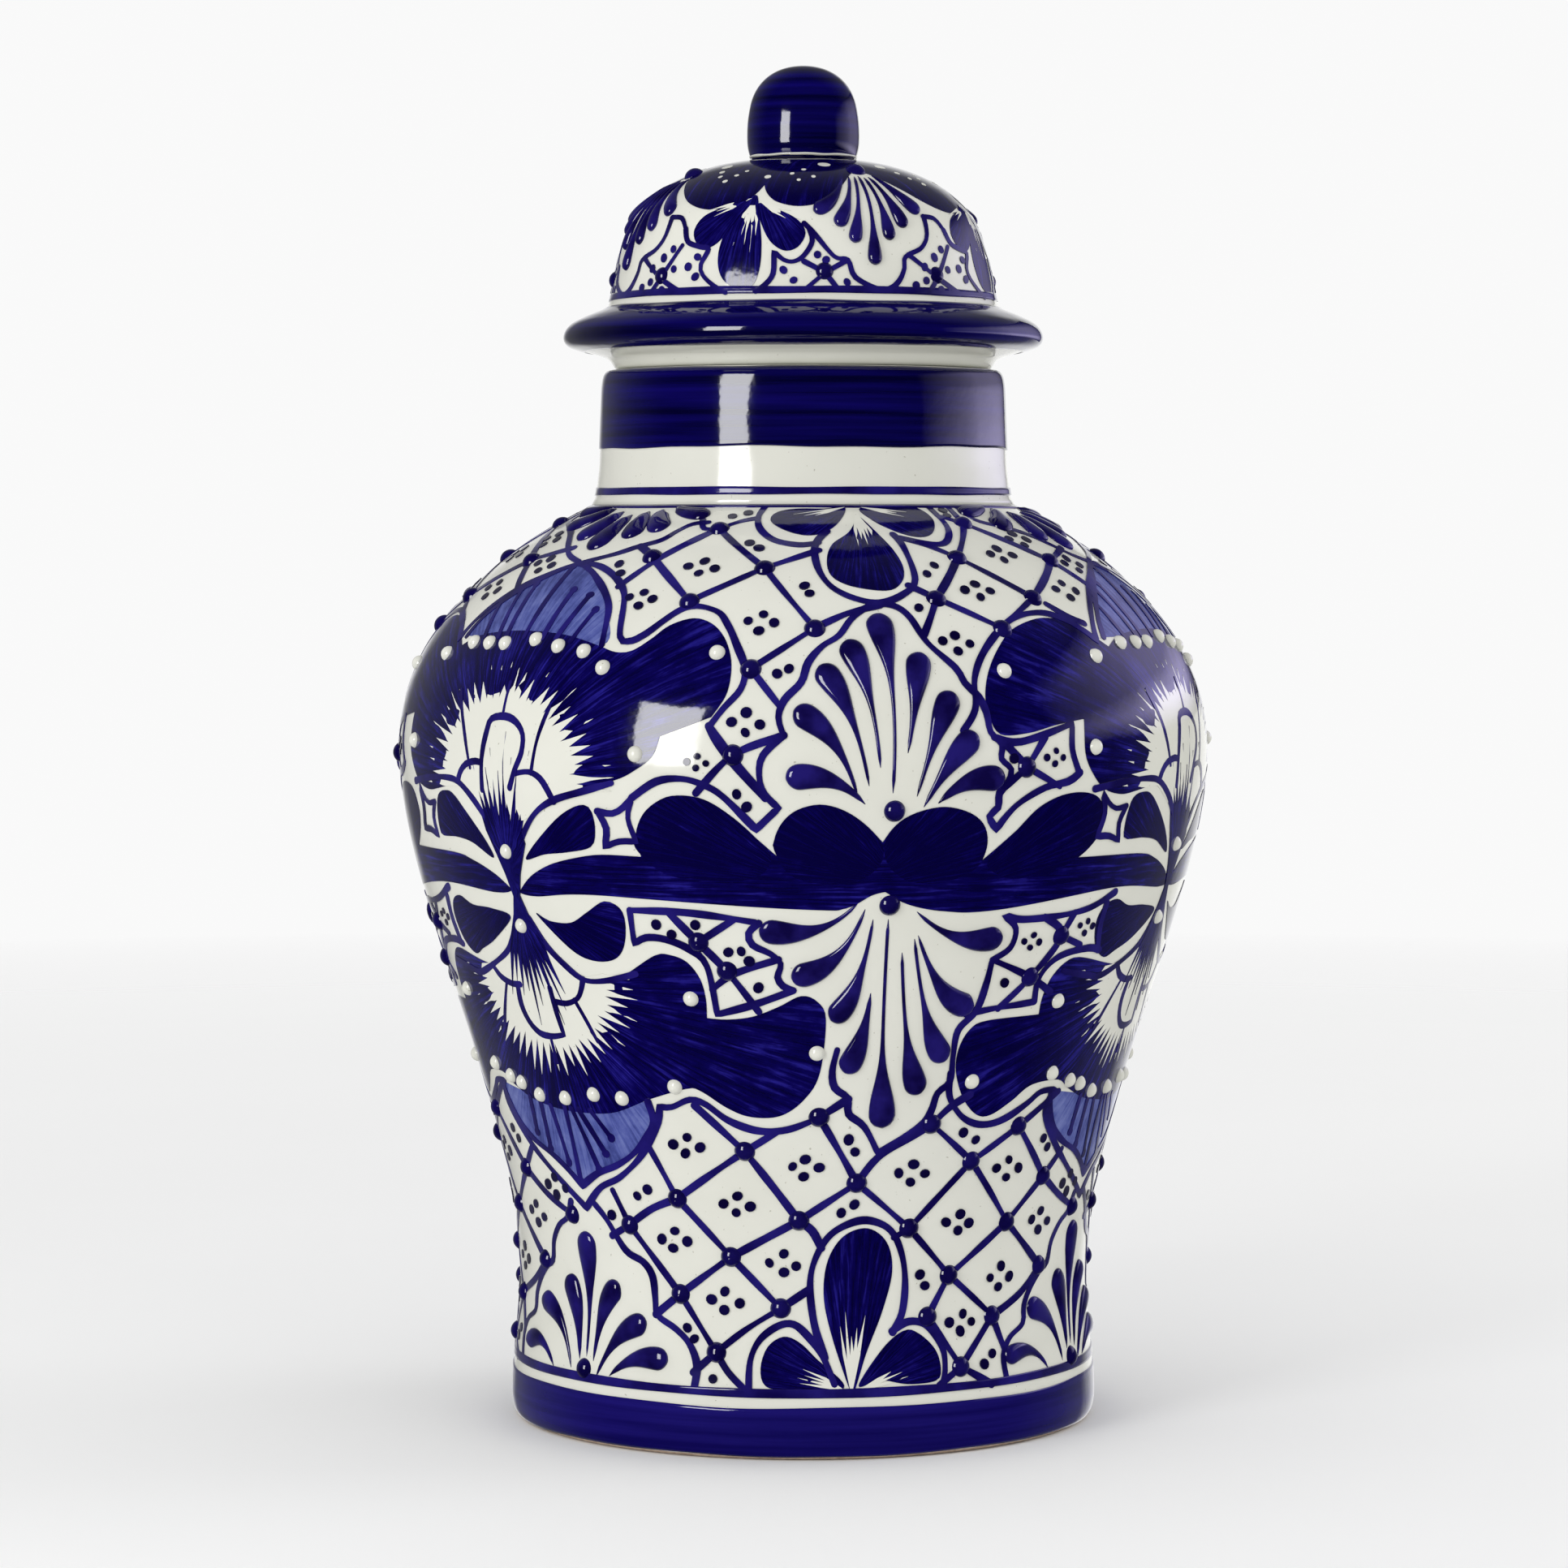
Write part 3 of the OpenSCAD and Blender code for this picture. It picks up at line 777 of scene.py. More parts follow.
def lobes():
    """The blossom's dark scalloped lobes."""
    upper = curve([(-10, 196.5), (-15.5, 194.5), (-19, 193.8), (-22.5, 195.5), (-25, 200), (-26.5, 206),
                   (-26.3, 215.5), (-26.3, 215.5), (-31.5, 214), (-36, 212), (-40.5, 211.8), (-42, 217),
                   (-42.2, 223), (-41, 230), (-38.5, 237), (-35, 243), (-30, 246.5), (-26, 246.8),
                   (-22, 244.5), (-16.5, 236.8), (-16.5, 236.8), (-13, 240), (-7, 241.8), (0, 242.3),
                   (8, 241), (14.8, 237.5), (14.8, 237.5), (17.5, 235.8), (20, 236.3), (22.5, 240),
                   (25, 244.8), (28.5, 247.3), (31.5, 245.5), (33.7, 241), (35, 235), (35.3, 229),
                   (34.8, 223), (33, 217), (33, 217), (26, 211.5), (26, 211.5), (25, 206), (22.5, 202),
                   (19, 198.8), (10, 194.5), (10, 194.5), (0, 206), (-10, 196.5), (-10, 196.5)],
                  closed=True)
    lower = curve([(9, 140), (13.5, 140.6), (17.5, 142.5), (23, 148.7), (25.5, 149), (28, 147),
                   (29.8, 142), (30.4, 136), (30.3, 130.3), (30.3, 130.3), (33.5, 130), (37.5, 131),
                   (41.5, 134), (45, 137.3), (47.5, 135.5), (48.8, 130), (48, 114), (45.5, 106),
                   (41.5, 101), (36.5, 100.5), (32.5, 103), (28, 108), (25.5, 108.5), (18, 104.5),
                   (18, 104.5), (11, 100), (4, 99), (-3, 99.5), (-10, 101.5), (-16, 105.5), (-16, 105.5),
                   (-19, 108.2), (-25.5, 107.5), (-29.5, 103), (-33.5, 99.3), (-36.5, 99.7),
                   (-39.7, 105), (-41.8, 113), (-42, 120), (-40.5, 126), (-37.5, 128.5), (-27.5, 129.3),
                   (-27.5, 129.3), (-27.6, 134), (-26.7, 140), (-24.5, 144.5), (-21.5, 146),
                   (-14.5, 143.5), (-10, 142), (-10, 142), (0, 128), (9, 140), (9, 140)], closed=True)
    return [Shape(upper, (0, 198), 0.42), Shape(lower, (0, 140), 0.42)]


def hearts(rng):
    """The blossom's white feathered hearts."""
    upper = feather(jar_wall, (0, 197), (27.5, 25), (38, 33), (-4, 184), 32, rng, ragged=0.22)
    upper += [(-10, 195.5), (-3, 186), (0, 180), (3, 186), (10, 193)]
    lower = feather(jar_wall, (0, 141), (25, 21.5), (35, 30), (4, -184), 31, rng, ragged=0.22)
    lower += [(-10, 143), (-3, 150), (0, 156), (3, 150), (10, 141)]
    return [Shape(upper), Shape(lower)]


def heart_petals(rng):
    """Petals drawn on the hearts, each line with its own width in mm."""
    petals = (
        ([(-4, 195), (-3.8, 204), (-2.9, 212), (-2.2, 215.2), (0.5, 216), (2.8, 214.5), (4.3, 211),
          (4.2, 206), (2.9, 201), (1.8, 196)], 2.0),
        ([(-9.7, 197), (-9, 199.6), (-7.5, 202), (-5.2, 203), (-4, 202.6)], 1.9),
        ([(2.7, 200), (5.5, 200.7), (7.5, 199), (8.8, 195.5), (9.6, 192.6)], 1.9),
        ([(-6.5, 201), (-8.3, 212), (-11, 223)], 1.3),
        ([(6, 201), (7, 210), (8.5, 219)], 1.3),
        ([(0, 216), (0.1, 226)], 1.2),
        ([(-24.5, 195.7), (-18.5, 197.3), (-13, 197.8), (-9.7, 196.8), (-6.5, 192.5), (-4, 187),
          (-2.4, 181), (-1.2, 174)], 1.9),
        ([(19, 198.3), (14.5, 195.8), (9.6, 193), (6.3, 189.3), (3.7, 183.5), (1.7, 177), (0.5, 171)], 1.9),
        ([(-5, 137), (-5.4, 131), (-4.5, 126), (-2.5, 122.7), (0.3, 122), (3.3, 122.8), (3.3, 122.8),
          (2.8, 130), (2.6, 137)], 2.0),
        ([(-10.5, 142), (-9, 139), (-6.5, 137.3), (-4.3, 137.3)], 1.9),
        ([(3, 133), (5.5, 132.7), (8, 134.5), (9.3, 138), (9.8, 140.5)], 1.9),
        ([(-8, 137), (-10.3, 130), (-12.5, 123)], 1.3),
        ([(7.3, 134), (8.8, 128), (10.3, 121.5)], 1.3),
        ([(0, 122), (0.1, 114)], 1.2),
        ([(-24.5, 142.3), (-18.5, 140.2), (-14.5, 139.8), (-6.5, 146), (-3.5, 151), (-1.5, 157)], 1.9),
        ([(19.5, 143), (14.5, 140.6), (10, 140.4), (6.5, 145), (3.5, 151), (1.5, 158)], 1.9),
    )
    shapes = []
    for points, width in petals:
        shapes += strokes(jar_wall, [points], width, rng, tone=0.35)
    return shapes


def stem(rng):
    """The dark streaked stem that joins the hearts, in two halves."""
    upper = feather(jar_wall, (-0.5, 168), (17, 20), (30, 37), (60, 120), 11, rng, ragged=0.6)
    upper += [(-3.4, 180), (-1.6, 171), (-0.6, 163), (0.4, 163), (1.6, 171), (3.6, 180)]
    lower = feather(jar_wall, (-0.5, 164), (16, 19), (27, 33), (-61, -119), 10, rng, ragged=0.6)
    lower += [(-3.4, 152), (-1.6, 159), (-0.5, 166), (0.4, 166), (1.6, 159), (3.4, 152)]
    return [Shape(upper, (-0.5, 172), 0.45), Shape(lower, (-0.5, 160), 0.45)]


def stem_leaves():
    """Dark leaves at both sides of the stem."""
    leaves = (
        [(-3.6, 175.3), (-3.6, 175.3), (-5.5, 182), (-11, 192.5), (-13.8, 194), (-16, 192.5), (-17, 188),
         (-17.2, 182.5), (-16.3, 180.6), (-12, 180.6), (-8, 179.3)],
        [(3.2, 175.8), (3.2, 175.8), (8.7, 186), (12, 190.5), (14.5, 192), (15.7, 190), (16, 184.5),
         (15, 180), (11, 178.2), (7, 177.3)],
        [(-2.6, 157.8), (-2.6, 157.8), (-7, 160), (-12, 160.5), (-15.5, 162.8), (-18.3, 161), (-19.4, 156),
         (-18.2, 149), (-15.3, 145.2), (-12.5, 147), (-8, 150.5)],
        [(3.2, 159.5), (3.2, 159.5), (5.5, 157.6), (9.5, 157.4), (12.8, 160.8), (16, 164.3), (18.4, 162.5),
         (19, 158), (18.2, 151), (16.2, 147), (12.5, 146.3), (8.7, 149.3)],
    )
    return patches([(points, (0, 166)) for points in leaves], 0.3)


def blossom_contours(rng):
    """The line round the lobes and the caps."""
    contours = (
        [(-46, 213), (-44, 219), (-43.4, 228), (-41, 236), (-36.5, 244), (-32.5, 247.8), (-27.5, 248.8),
         (-23.5, 246.3), (-20.5, 242.3), (-18.7, 238.8), (-18.7, 238.8), (-17.6, 244), (-15, 251),
         (-11, 258), (-5, 264.5), (0, 268.7), (0, 268.7), (4, 268.3), (8, 266), (11.8, 262), (14.6, 257),
         (16, 251), (17.4, 240.8), (19, 239.3), (21.3, 241.5), (26.7, 251), (31.7, 250), (34, 245),
         (35.8, 238), (37.2, 231), (36.8, 225), (34.6, 219.5), (33, 215)],
        [(-42.8, 113), (-42.4, 106), (-39.8, 100), (-36.5, 97), (-33, 96.6), (-29.5, 98.3), (-25.5, 102),
         (-22.8, 105), (-19, 105.3), (-19, 105.3), (-20.5, 102), (-19.8, 96.5), (-13.5, 85.5), (0, 69.7),
         (0, 69.7), (4.5, 76.3), (9.5, 80), (14, 85.5), (17.2, 91.5), (19.5, 98), (20.2, 102.7),
         (20.2, 102.7), (22.5, 102.8), (26, 105.3), (28.7, 104), (32.5, 99.3), (37.5, 96.4),
         (42.5, 96.8), (47.5, 100)],
        CAP_UP,
        CAP_DOWN,
    )
    return strokes(jar_wall, contours, CONTOUR_WIDTH, rng)


def stars(rng):
    """A small star between the lobes and the belt, and its mirror image on the left."""
    star = [(16.6, 190.3), (16.6, 190.3), (18.9, 189.8), (20.6, 191.6), (21.9, 194.3), (21.9, 194.3),
            (21.2, 188.5), (22.2, 182), (22.2, 182), (19.6, 181.9), (17.3, 180.2), (17.3, 180.2),
            (17.8, 185.5), (16.6, 190.3)]
    mirrored = [(-0.9 - turn, rise) for turn, rise in star]
    return strokes(jar_wall, (star, mirrored), 1.8, rng)


def paint_blossoms():
    rng = random.Random(11)
    line = cap_strokes(rng)
    paper = hearts(rng)
    line += heart_petals(rng)
    detail = stem(rng)
    line += blossom_contours(rng) + stars(rng)
    paint("blossom_wash", jar_wall, cap_washes(), BLOSSOM_COLUMNS, WASH_LIFT, WASH)
    paint("blossom_fill", jar_wall, lobes() + stem_leaves(), BLOSSOM_COLUMNS, FILL_LIFT, FILL)
    paint("blossom_paper", jar_wall, paper, BLOSSOM_COLUMNS, PAPER_LIFT, WHITE)
    paint("blossom_lines", jar_wall, line, BLOSSOM_COLUMNS, LINE_LIFT, LINE)
    paint("blossom_stems", jar_wall, detail, BLOSSOM_COLUMNS, DETAIL_LIFT, FILL)


paint_blossoms()


# ---------------------------------------------------------------- fan sector

def belt():
    """The dark belt leaf and the four scallops that stand on it."""
    # each scallop's rim, the way back inside the belt, and the streaks' pole and tone
    scallops = (
        ([(-34.8, 184), (-33.5, 190), (-31, 194), (-28.5, 195.3), (-25, 194.3), (-21.5, 190), (-18, 183.5)],
         [(-16, 178), (-18, 172.5), (-24, 170.8), (-31, 173), (-35, 180)], (-12, 171), 0.22),
        ([(-15.6, 183), (-14.5, 188), (-12.5, 191.5), (-9.5, 193), (-6.5, 191.5), (-3.5, 187.5)],
         [(-1, 181.5), (-1.2, 176), (-4, 171.5), (-9, 170.5), (-13.5, 173), (-15.6, 180)], (2, 170), 0.15),
        ([(0.7, 187), (3.5, 190.5), (7.5, 192), (11.3, 190), (13.5, 186), (14, 180)],
         [(12.5, 174), (8, 170.5), (3, 171), (0, 175.5), (-0.8, 181.5)], (-4, 169), 0.2),
        ([(18.5, 185), (21.7, 191), (25.5, 194.3), (29.5, 194.9), (32.5, 193), (34, 188), (33.5, 183)],
         [(30.5, 177), (25, 172), (19, 171), (15, 173.5), (14.5, 177)], (10, 168), 0.22),
    )
    edge = [(-56.5, 165.5), (-53.5, 170.5), (-49.5, 174.3), (-45, 176.6), (-40.5, 177.9)]
    for valley, (rim, *_) in zip(((-34.3, 177.7), (-15.3, 178.5), (-1, 182.3), (13, 175.7)), scallops):
        edge += [valley, valley, *rim]
    edge += [(31.5, 178.8), (28.7, 176.2), (28.7, 176.2), (43.5, 176), (48.5, 174.2), (53, 170.5),
             (56, 166), (56, 166), (52.5, 165), (38.5, 166.4), (16.5, 161.8), (8.5, 162), (3, 164.3),
             (-0.3, 168), (-0.3, 168), (-2.2, 167), (-5.8, 163.3), (-11.5, 163), (-41.5, 166),
             (-53, 164.7), (-56.5, 165.5), (-56.5, 165.5)]
    shapes = [Shape(curve(edge, closed=True), (-300, 168), 0.4)]
    for rim, inside, pole, tone in scallops:
        shapes.append(Shape(curve(rim + inside, closed=True), pole, tone))
    return shapes


def flowers():
    """The petals of the flowers on the shoulder and on the foot."""
    petals = (
        # shoulder flower: its middle petal and two side petals
        ([(0.8, 292), (0.8, 292), (-2.2, 284), (-6, 278), (-7.4, 271), (-7, 264), (-4, 259.6),
          (2, 257.6), (5, 261), (6.2, 267), (5.7, 275), (3.8, 284), (1.8, 292)], (1.3, 296)),
        ([(-1.2, 298.5), (-1.2, 298.5), (-6.5, 297.7), (-13.5, 297.6), (-18, 295.5), (-19.2, 291),
          (-16.3, 286), (-11.5, 282.6), (-7.3, 284), (-3.6, 290)], (1, 299)),
        ([(3, 298.5), (3, 298.5), (15.5, 299.3), (19, 297), (19.6, 291), (16.5, 283.7), (12.5, 281.6),
          (7.8, 285), (4, 291.5)], (1, 299)),
        # foot flower
        ([(-2.8, 20.5), (-2.8, 20.5), (-6.4, 37), (-7.8, 48), (-7, 58), (-4, 65), (0.5, 67), (4.3, 62.5),
          (5.5, 54), (3.7, 43), (0.4, 31), (-2, 20.5)], (-2.5, 12)),
        ([(-4, 21.5), (-4, 21.5), (-14.5, 21), (-18.8, 22), (-19.8, 27), (-18.5, 33), (-15.5, 36),
          (-12.5, 34.5), (-9.3, 30)], (-2, 20)),
        ([(-1.2, 22), (-1.2, 22), (3, 23.3), (8.5, 21.8), (14.3, 22.2), (15.5, 25.3), (14.5, 31), (11, 36),
          (8, 37), (3.7, 32.3)], (-2, 20)),
    )
    return patches(petals, 0.4)


def flower_flames(rng):
    marks = (
        ((0.9, 297), (11, 12), (14, 19), (-103, -76), 5),
        ((-1.2, 298.5), (7, 6), (14, 11), (-163, -142), 3),
        ((3, 298.5), (7, 6), (13, 10), (-37, -12), 3),
        ((-2.6, 19), (12, 12), (20, 21), (77, 101), 5),
        ((-3.5, 20.5), (8, 7), (16, 12), (142, 170), 4),
        ((-1.5, 20.5), (8, 6), (16, 12), (12, 38), 3),
    )
    return flames(jar_wall, marks, rng, ragged=0.7)


def sector_contours(rng):
    """The lines round the fans and the flowers."""
    contours = (
        # net's edge along the upper fan and the belt
        [(-14.3, 212), (-15, 217), (-14.2, 222), (-12, 227), (-11, 233), (-9, 238), (-6.5, 241.5),
         (-4.5, 247), (-2, 251), (0.5, 252.6), (3, 251.3), (4.7, 247.5), (6.5, 239), (10, 231),
         (11, 226.5), (12.7, 222.5), (13.6, 218), (14, 212.5), (15.6, 209), (15.5, 205), (17, 202),
         (16.5, 198.3), (15.3, 195.5), (15.2, 191.5), (14, 189), (15.2, 185.3), (15.2, 185.3),
         (16.7, 189.3), (18.8, 193), (22.6, 196.7), (26.5, 198.2), (28.5, 200.5)],
        [(-14.3, 212), (-14.3, 212), (-17, 206.5), (-17.5, 201), (-16.8, 196), (-15, 192), (-15, 192),
         (-18, 186), (-18, 186), (-22.3, 195), (-25, 198.3), (-28, 199.9), (-31.5, 199),
         (-35.1, 194.3)],
        [(-24.3, 214.5), (-23, 209.5), (-19.5, 200.5), (-16.7, 194.7)],
        [(14.5, 211), (18.5, 209.6), (27.4, 214.3), (27.4, 214.3), (27.1, 207), (28.3, 200.6)],
        # round the shoulder flower
        [(-6.7, 284.5), (-8.6, 280.5), (-9.6, 275), (-9, 266), (-7, 259), (-3.5, 254.6), (0.5, 253),
         (4.5, 256), (7.5, 262), (8, 277), (7.2, 283)],
        [(-21.3, 299.5), (-22.2, 293), (-21, 286), (-17.5, 280), (-12.5, 277.6), (-8.7, 278.7)],
        [(8.3, 281.3), (12.5, 278.7), (16.5, 277.9), (19.3, 281), (21.7, 288), (22.2, 299.5)],
        # round the foot flower
        [(-7.5, 30), (-9.5, 39), (-10.4, 50), (-9.5, 58), (-6.5, 65.5), (-1.5, 69.3), (2.5, 68.5),
         (5.5, 65), (7.5, 58), (8.2, 50), (7.6, 42), (5.7, 36.7)],
        [(-22, 20.5), (-21.8, 29), (-20, 35), (-16.5, 39), (-13.5, 39.5), (-10.7, 36), (-8, 30.5),
         (-5.8, 22.5)],
        [(5.5, 37), (9, 39.5), (12.8, 38), (16, 31.5), (16.4, 25), (15.6, 20.5)],
        # round the lower fan
        [(-18, 159), (-19.5, 156), (-19, 152.5), (-16.5, 150), (-15, 147), (-15.5, 143), (-14.7, 140.3),
         (-13.2, 139)],
        [(-6.3, 121), (-7, 114.5), (-6.5, 109.5), (-4.3, 106.3), (-4, 101.5), (-1.2, 97.5), (1.5, 89.5),
         (1.5, 89.5), (8.7, 97), (10.5, 101.5), (11.3, 107), (13.3, 110.5), (13.2, 118), (13.4, 126),
         (16, 131.5), (17, 139), (17.4, 147), (17.4, 147), (20.2, 150.3), (20.6, 156), (18.4, 160),
         (18.4, 160), (21.5, 158.7), (28.5, 159.2), (34.5, 161), (39.5, 165)],
        [(-37, 162), (-29.5, 161.9), (-23.5, 160.7), (-18.5, 159.2)],
        [(-37, 162), (-37, 162), (-37, 152), (-37, 152), (-35, 154), (-32, 153.7), (-28.5, 151),
         (-26, 146), (-25, 131.5), (-25, 131.5), (-19, 134.8), (-13.2, 139)],
        [(38, 162), (37.7, 155), (38.6, 147.5)],
        [(26.9, 133.4), (26.9, 133.4), (26.7, 140), (28.5, 145), (31.5, 147.6), (36.5, 148.6), (39, 147.6)],
        [(14.3, 130.8), (19.5, 132.2), (23.5, 132.8), (26.9, 133.4)],
        [(-35.3, 291), (-33.5, 286), (-30, 286)],
    )
    return strokes(jar_wall, contours, CONTOUR_WIDTH, rng)


# The net's strands, each painted straight from one crossing to the next, then its bent strokes
NET_STRANDS = (
    ((-30, 286), (-18.5, 267), (-10, 244)), ((-30, 253.5), (-18.5, 267), (-8.8, 275)),
    ((-19, 231), (-10, 244)), ((6, 259.5), (10, 254.5), (19.5, 243.5)),
    ((6.2, 241.5), (10, 254.5), (18, 271.5), (27, 289), (28.5, 299.3)), ((18, 271.5), (28.5, 254.5)),
    ((20, 245), (28.5, 254.5), (41, 270), (51, 276)), ((22, 293.5), (27, 289), (41, 270), (46.5, 257)),
    ((-24.3, 214.5), (-16.7, 194.7)), ((-19, 231), (-14.8, 220)),
    ((16, 197), (19.5, 202.5), (22.5, 210.8)), ((16.2, 209), (19.5, 202.5), (25, 196.8)),
    ((-27, 153), (-21.5, 160)), ((29.5, 153), (31.3, 159.7)), ((29.5, 153), (34, 149.8)),
    ((-51, 62.3), (-46.5, 66)), ((-49.5, 76), (-46.5, 66), (-36, 47), (-28.5, 31)),
    ((-41.3, 40.7), (-36, 47), (-25.5, 58.5), (-12.5, 69.5), (-2, 80.5)),
    ((-40, 90), (-35.5, 75), (-25.5, 58.5), (-16, 44)), ((-35.5, 75), (-22, 90), (-16, 96.3)),
    ((-30.3, 103.5), (-22, 90), (-12.5, 69.5)),
    ((-9, 100.5), (-2, 80.5), (8.5, 66.5), (17.5, 52), (28, 39), (31, 28.5)), ((-9, 100.5), (-4.2, 106)),
    ((5.5, 64), (8.5, 66.5), (20, 85.5), (29.5, 95), (38, 104.5)),
    ((11, 97.5), (20, 85.5), (30.5, 66), (41.5, 51.5)),
    ((13, 40.5), (17.5, 52), (30.5, 66), (39, 78.5), (43.5, 86)), ((29.5, 95), (39, 78.5)),
    ((-33, 25), (-28.5, 31)), ((-16, 44), (-10.5, 49.5)), ((13, 40.5), (20, 25.5), (27, 19.5)),
    ((15, 20.8), (20, 25.5), (28, 39)),
)
NET_BENDS = (
    ((-30, 286), (-26, 290), (-22.2, 292)), ((-31.5, 284), (-38.5, 272.5), (-44, 259)),
    ((-45.5, 277), (-41, 272), (-35, 262.5), (-30, 253.5)), ((-10, 244), (-5, 249), (0.3, 252)),
    ((-26, 196), (-21, 206.5), (-14.3, 212)), ((8.5, 281), (13.5, 277), (18, 271.5)),
    ((30.5, 252), (33.5, 247.5), (36.5, 244.8)),
    ((-31, 161.5), (-27, 153), (-23, 144.5), (-18.5, 132.5)),
    ((-25.5, 139), (-22, 143.8), (-15.3, 148.3)), ((25.5, 159), (29.5, 153), (25, 141), (20, 132)),
    ((17.4, 147), (25, 141), (29.8, 136)), ((-2, 80.5), (1.5, 88), (6.5, 93), (11, 97.5)),
    ((-12.5, 69.5), (-10, 66.5), (-8.3, 61.5)), ((-16, 44), (-22.5, 38), (-28.5, 31)),
    ((-28.5, 31), (-26, 25.5), (-22.5, 20.5)), ((-35.5, 75), (-41, 71.5), (-46.5, 66)),
    ((11, 97.5), (14, 102.5), (17.5, 106)), ((39, 78.5), (45.5, 72), (52.5, 67)),
    ((28, 39), (36, 44.5), (41.5, 51.5)),
    ((-54.5, 71), (-52, 67), (-48, 58.5), (-44, 55.5), (-42, 51.5), (-41.5, 45), (-41, 40.5), (-37, 37),
     (-34, 33), (-32.3, 27), (-32.8, 20)),
    ((31, 20.5), (30.5, 27), (32.5, 32), (36.5, 35.5), (37, 40.5), (39, 45.5), (42, 50), (44.5, 52),
     (45.5, 58), (48, 63), (51, 66), (52.7, 71)),
    ((-33.5, 289.5), (-37, 288.5), (-39.5, 284.5), (-41.5, 280), (-46, 276.5), (-50, 273), (-56.5, 269)),
    ((56.3, 269.4), (51.5, 273), (45.5, 281), (41.5, 285), (33, 290), (31.5, 294), (31.5, 299.3)),
)

# Groups of four dots in the net's cells, then single dots
FOUR_DOTS = (
    (-29.8, 267), (-38.5, 254.3), (-18, 246), (-19.3, 215.3), (-25.8, 204.5), (18.2, 257.2), (11.1, 238.8),
    (28.8, 273), (37.8, 257), (38.5, 280), (47.5, 268), (24.1, 204.9), (24, 151.7), (34.5, 155.2),
    (-11.3, 85.4), (-24, 74), (-15.4, 56.8), (-26.8, 45.4), (-32.5, 91.3), (-36.9, 62.7), (49, 75),
    (8.1, 83), (18.8, 67.3), (20.4, 38.2), (28.7, 82.4), (40.3, 65), (29.8, 50),
)
SINGLE_DOTS = (
    (-47, 268.5), (-45.3, 264.5), (-22.3, 278.5), (-20.2, 276), (-28.5, 293), (-25, 295), (-11.5, 259.5),
    (-10.7, 256.5), (-15.3, 229.5), (-13.7, 231), (-20.5, 195.8), (-19.2, 192.3), (10.1, 264.3),
    (12.3, 268), (6.5, 251), (24.8, 293.5), (25.4, 296.7), (17.4, 205), (-33.1, 158), (-30.9, 155.2),
    (-27.2, 158.2), (-22.6, 150.3), (-20.7, 150.6), (-19.6, 147.7), (-18.4, 139.8), (20.3, 139.8),
    (-3.8, 93.7), (-2.6, 90), (-4.7, 71.8), (-2.3, 74.2), (-29, 23.5), (-33, 34.5), (-43.9, 75),
    (-41.5, 77.2), (-50.5, 68.5), (-34.5, 37.5), (11.2, 52.8), (12.3, 49.5), (17.4, 94.5), (20.2, 92),
    (36.8, 90.3), (38.5, 87.4), (25.5, 25.5), (27.6, 28.2),
)


def net_lines(rng):
    """The net, painted with an uneven brush."""
    meshes = [ends for strand in NET_STRANDS for ends in zip(strand, strand[1:])]
    shapes = []
    for points in meshes + list(NET_BENDS):
        width = rng.uniform(1.7, 2.3)
        shapes.append(Shape(brush_line(jar_wall, list(points), width, rng), tone=rng.uniform(0.3, 0.7)))
    return shapes


def net_dots(rng):
    """The dots in the net's cells, smaller beside the belt."""
    shapes = []
    for turn, rise in FOUR_DOTS:
        small = 0.7 if 140 < rise < 210 else 1.0
        for across, up in ((-4, 0.4), (0.2, 2.7), (-0.3, -2.6), (3.9, -0.2)):
            x = turn + small * (across + rng.uniform(-0.4, 0.4)) / jar_wall.degree(rise)
            y = rise + small * (up + rng.uniform(-0.4, 0.4))
            shapes.append(Shape(dot(jar_wall, x, y, small * rng.uniform(1.3, 1.65), rng)))
    return shapes + dots(jar_wall, SINGLE_DOTS, (1.35, 1.65), rng)


def paint_sectors():
    """The sectors meet the blossoms, so their layers lie a hair apart from the blossoms' layers."""
    hair = 0.02
    rng = random.Random(12)
    paper = flower_flames(rng)
    line = sector_contours(rng) + net_lines(rng)
    paint("belt_and_flowers", jar_wall, belt() + flowers(), FAN_COLUMNS, FILL_LIFT + hair, FILL)
    paint("flower_gaps", jar_wall, paper, FAN_COLUMNS, PAPER_LIFT + hair, WHITE)
    paint("net_lines", jar_wall, line, FAN_COLUMNS, LINE_LIFT - hair, LINE)
    paint("net_dots", jar_wall, net_dots(random.Random(14)), FAN_COLUMNS, DETAIL_LIFT, DOT)


paint_sectors()


# ---------------------------------------------------------------- lid

# The lid's shapes are a quarter of it, about its fan's column: the flower stands 45 degrees to the left

def rosette_and_flower():
    top = lid_wall.rises[-1]
    rosette = curve([(0.6, 48), (-5, 44), (-14, 34), (-20, 30.2), (-27, 29), (-34, 30.6), (-38, 34),
                     (-40, 38), (-40, 38), (-42, 34), (-46, 30.4), (-53, 28.6), (-60, 28.6), (-68, 31.2),
                     (-75, 36), (-86, 45.5), (-90.6, 48), (-90.6, 48)])
    rosette += [(-90.6, top), (0.6, top)]
    petals = (
        ([(-41.5, 33.3), (-41.5, 33.3), (-45, 30.3), (-49, 23.3), (-51.3, 16.3), (-51, 10.3),
          (-48.5, 6.1), (-44, 4.0), (-40, 4.8), (-38, 10.3), (-38, 18.3), (-39.5, 26.3)], (-41, 43.3)),
        ([(-43.5, 30.5), (-43.5, 30.5), (-52, 29), (-59, 26), (-61.5, 21.3), (-59, 17.2), (-54.5, 16.4),
          (-49.5, 20.5)], (-40, 35)),
        ([(-40.5, 29.8), (-40.5, 29.8), (-33, 27.6), (-27, 24.4), (-24.5, 20.3), (-27, 16), (-31.5, 15.2),
          (-36.5, 19.5)], (-42, 36)),
    )
    return [Shape(rosette, (-45, 200), 0.25)] + patches(petals, 0.45)


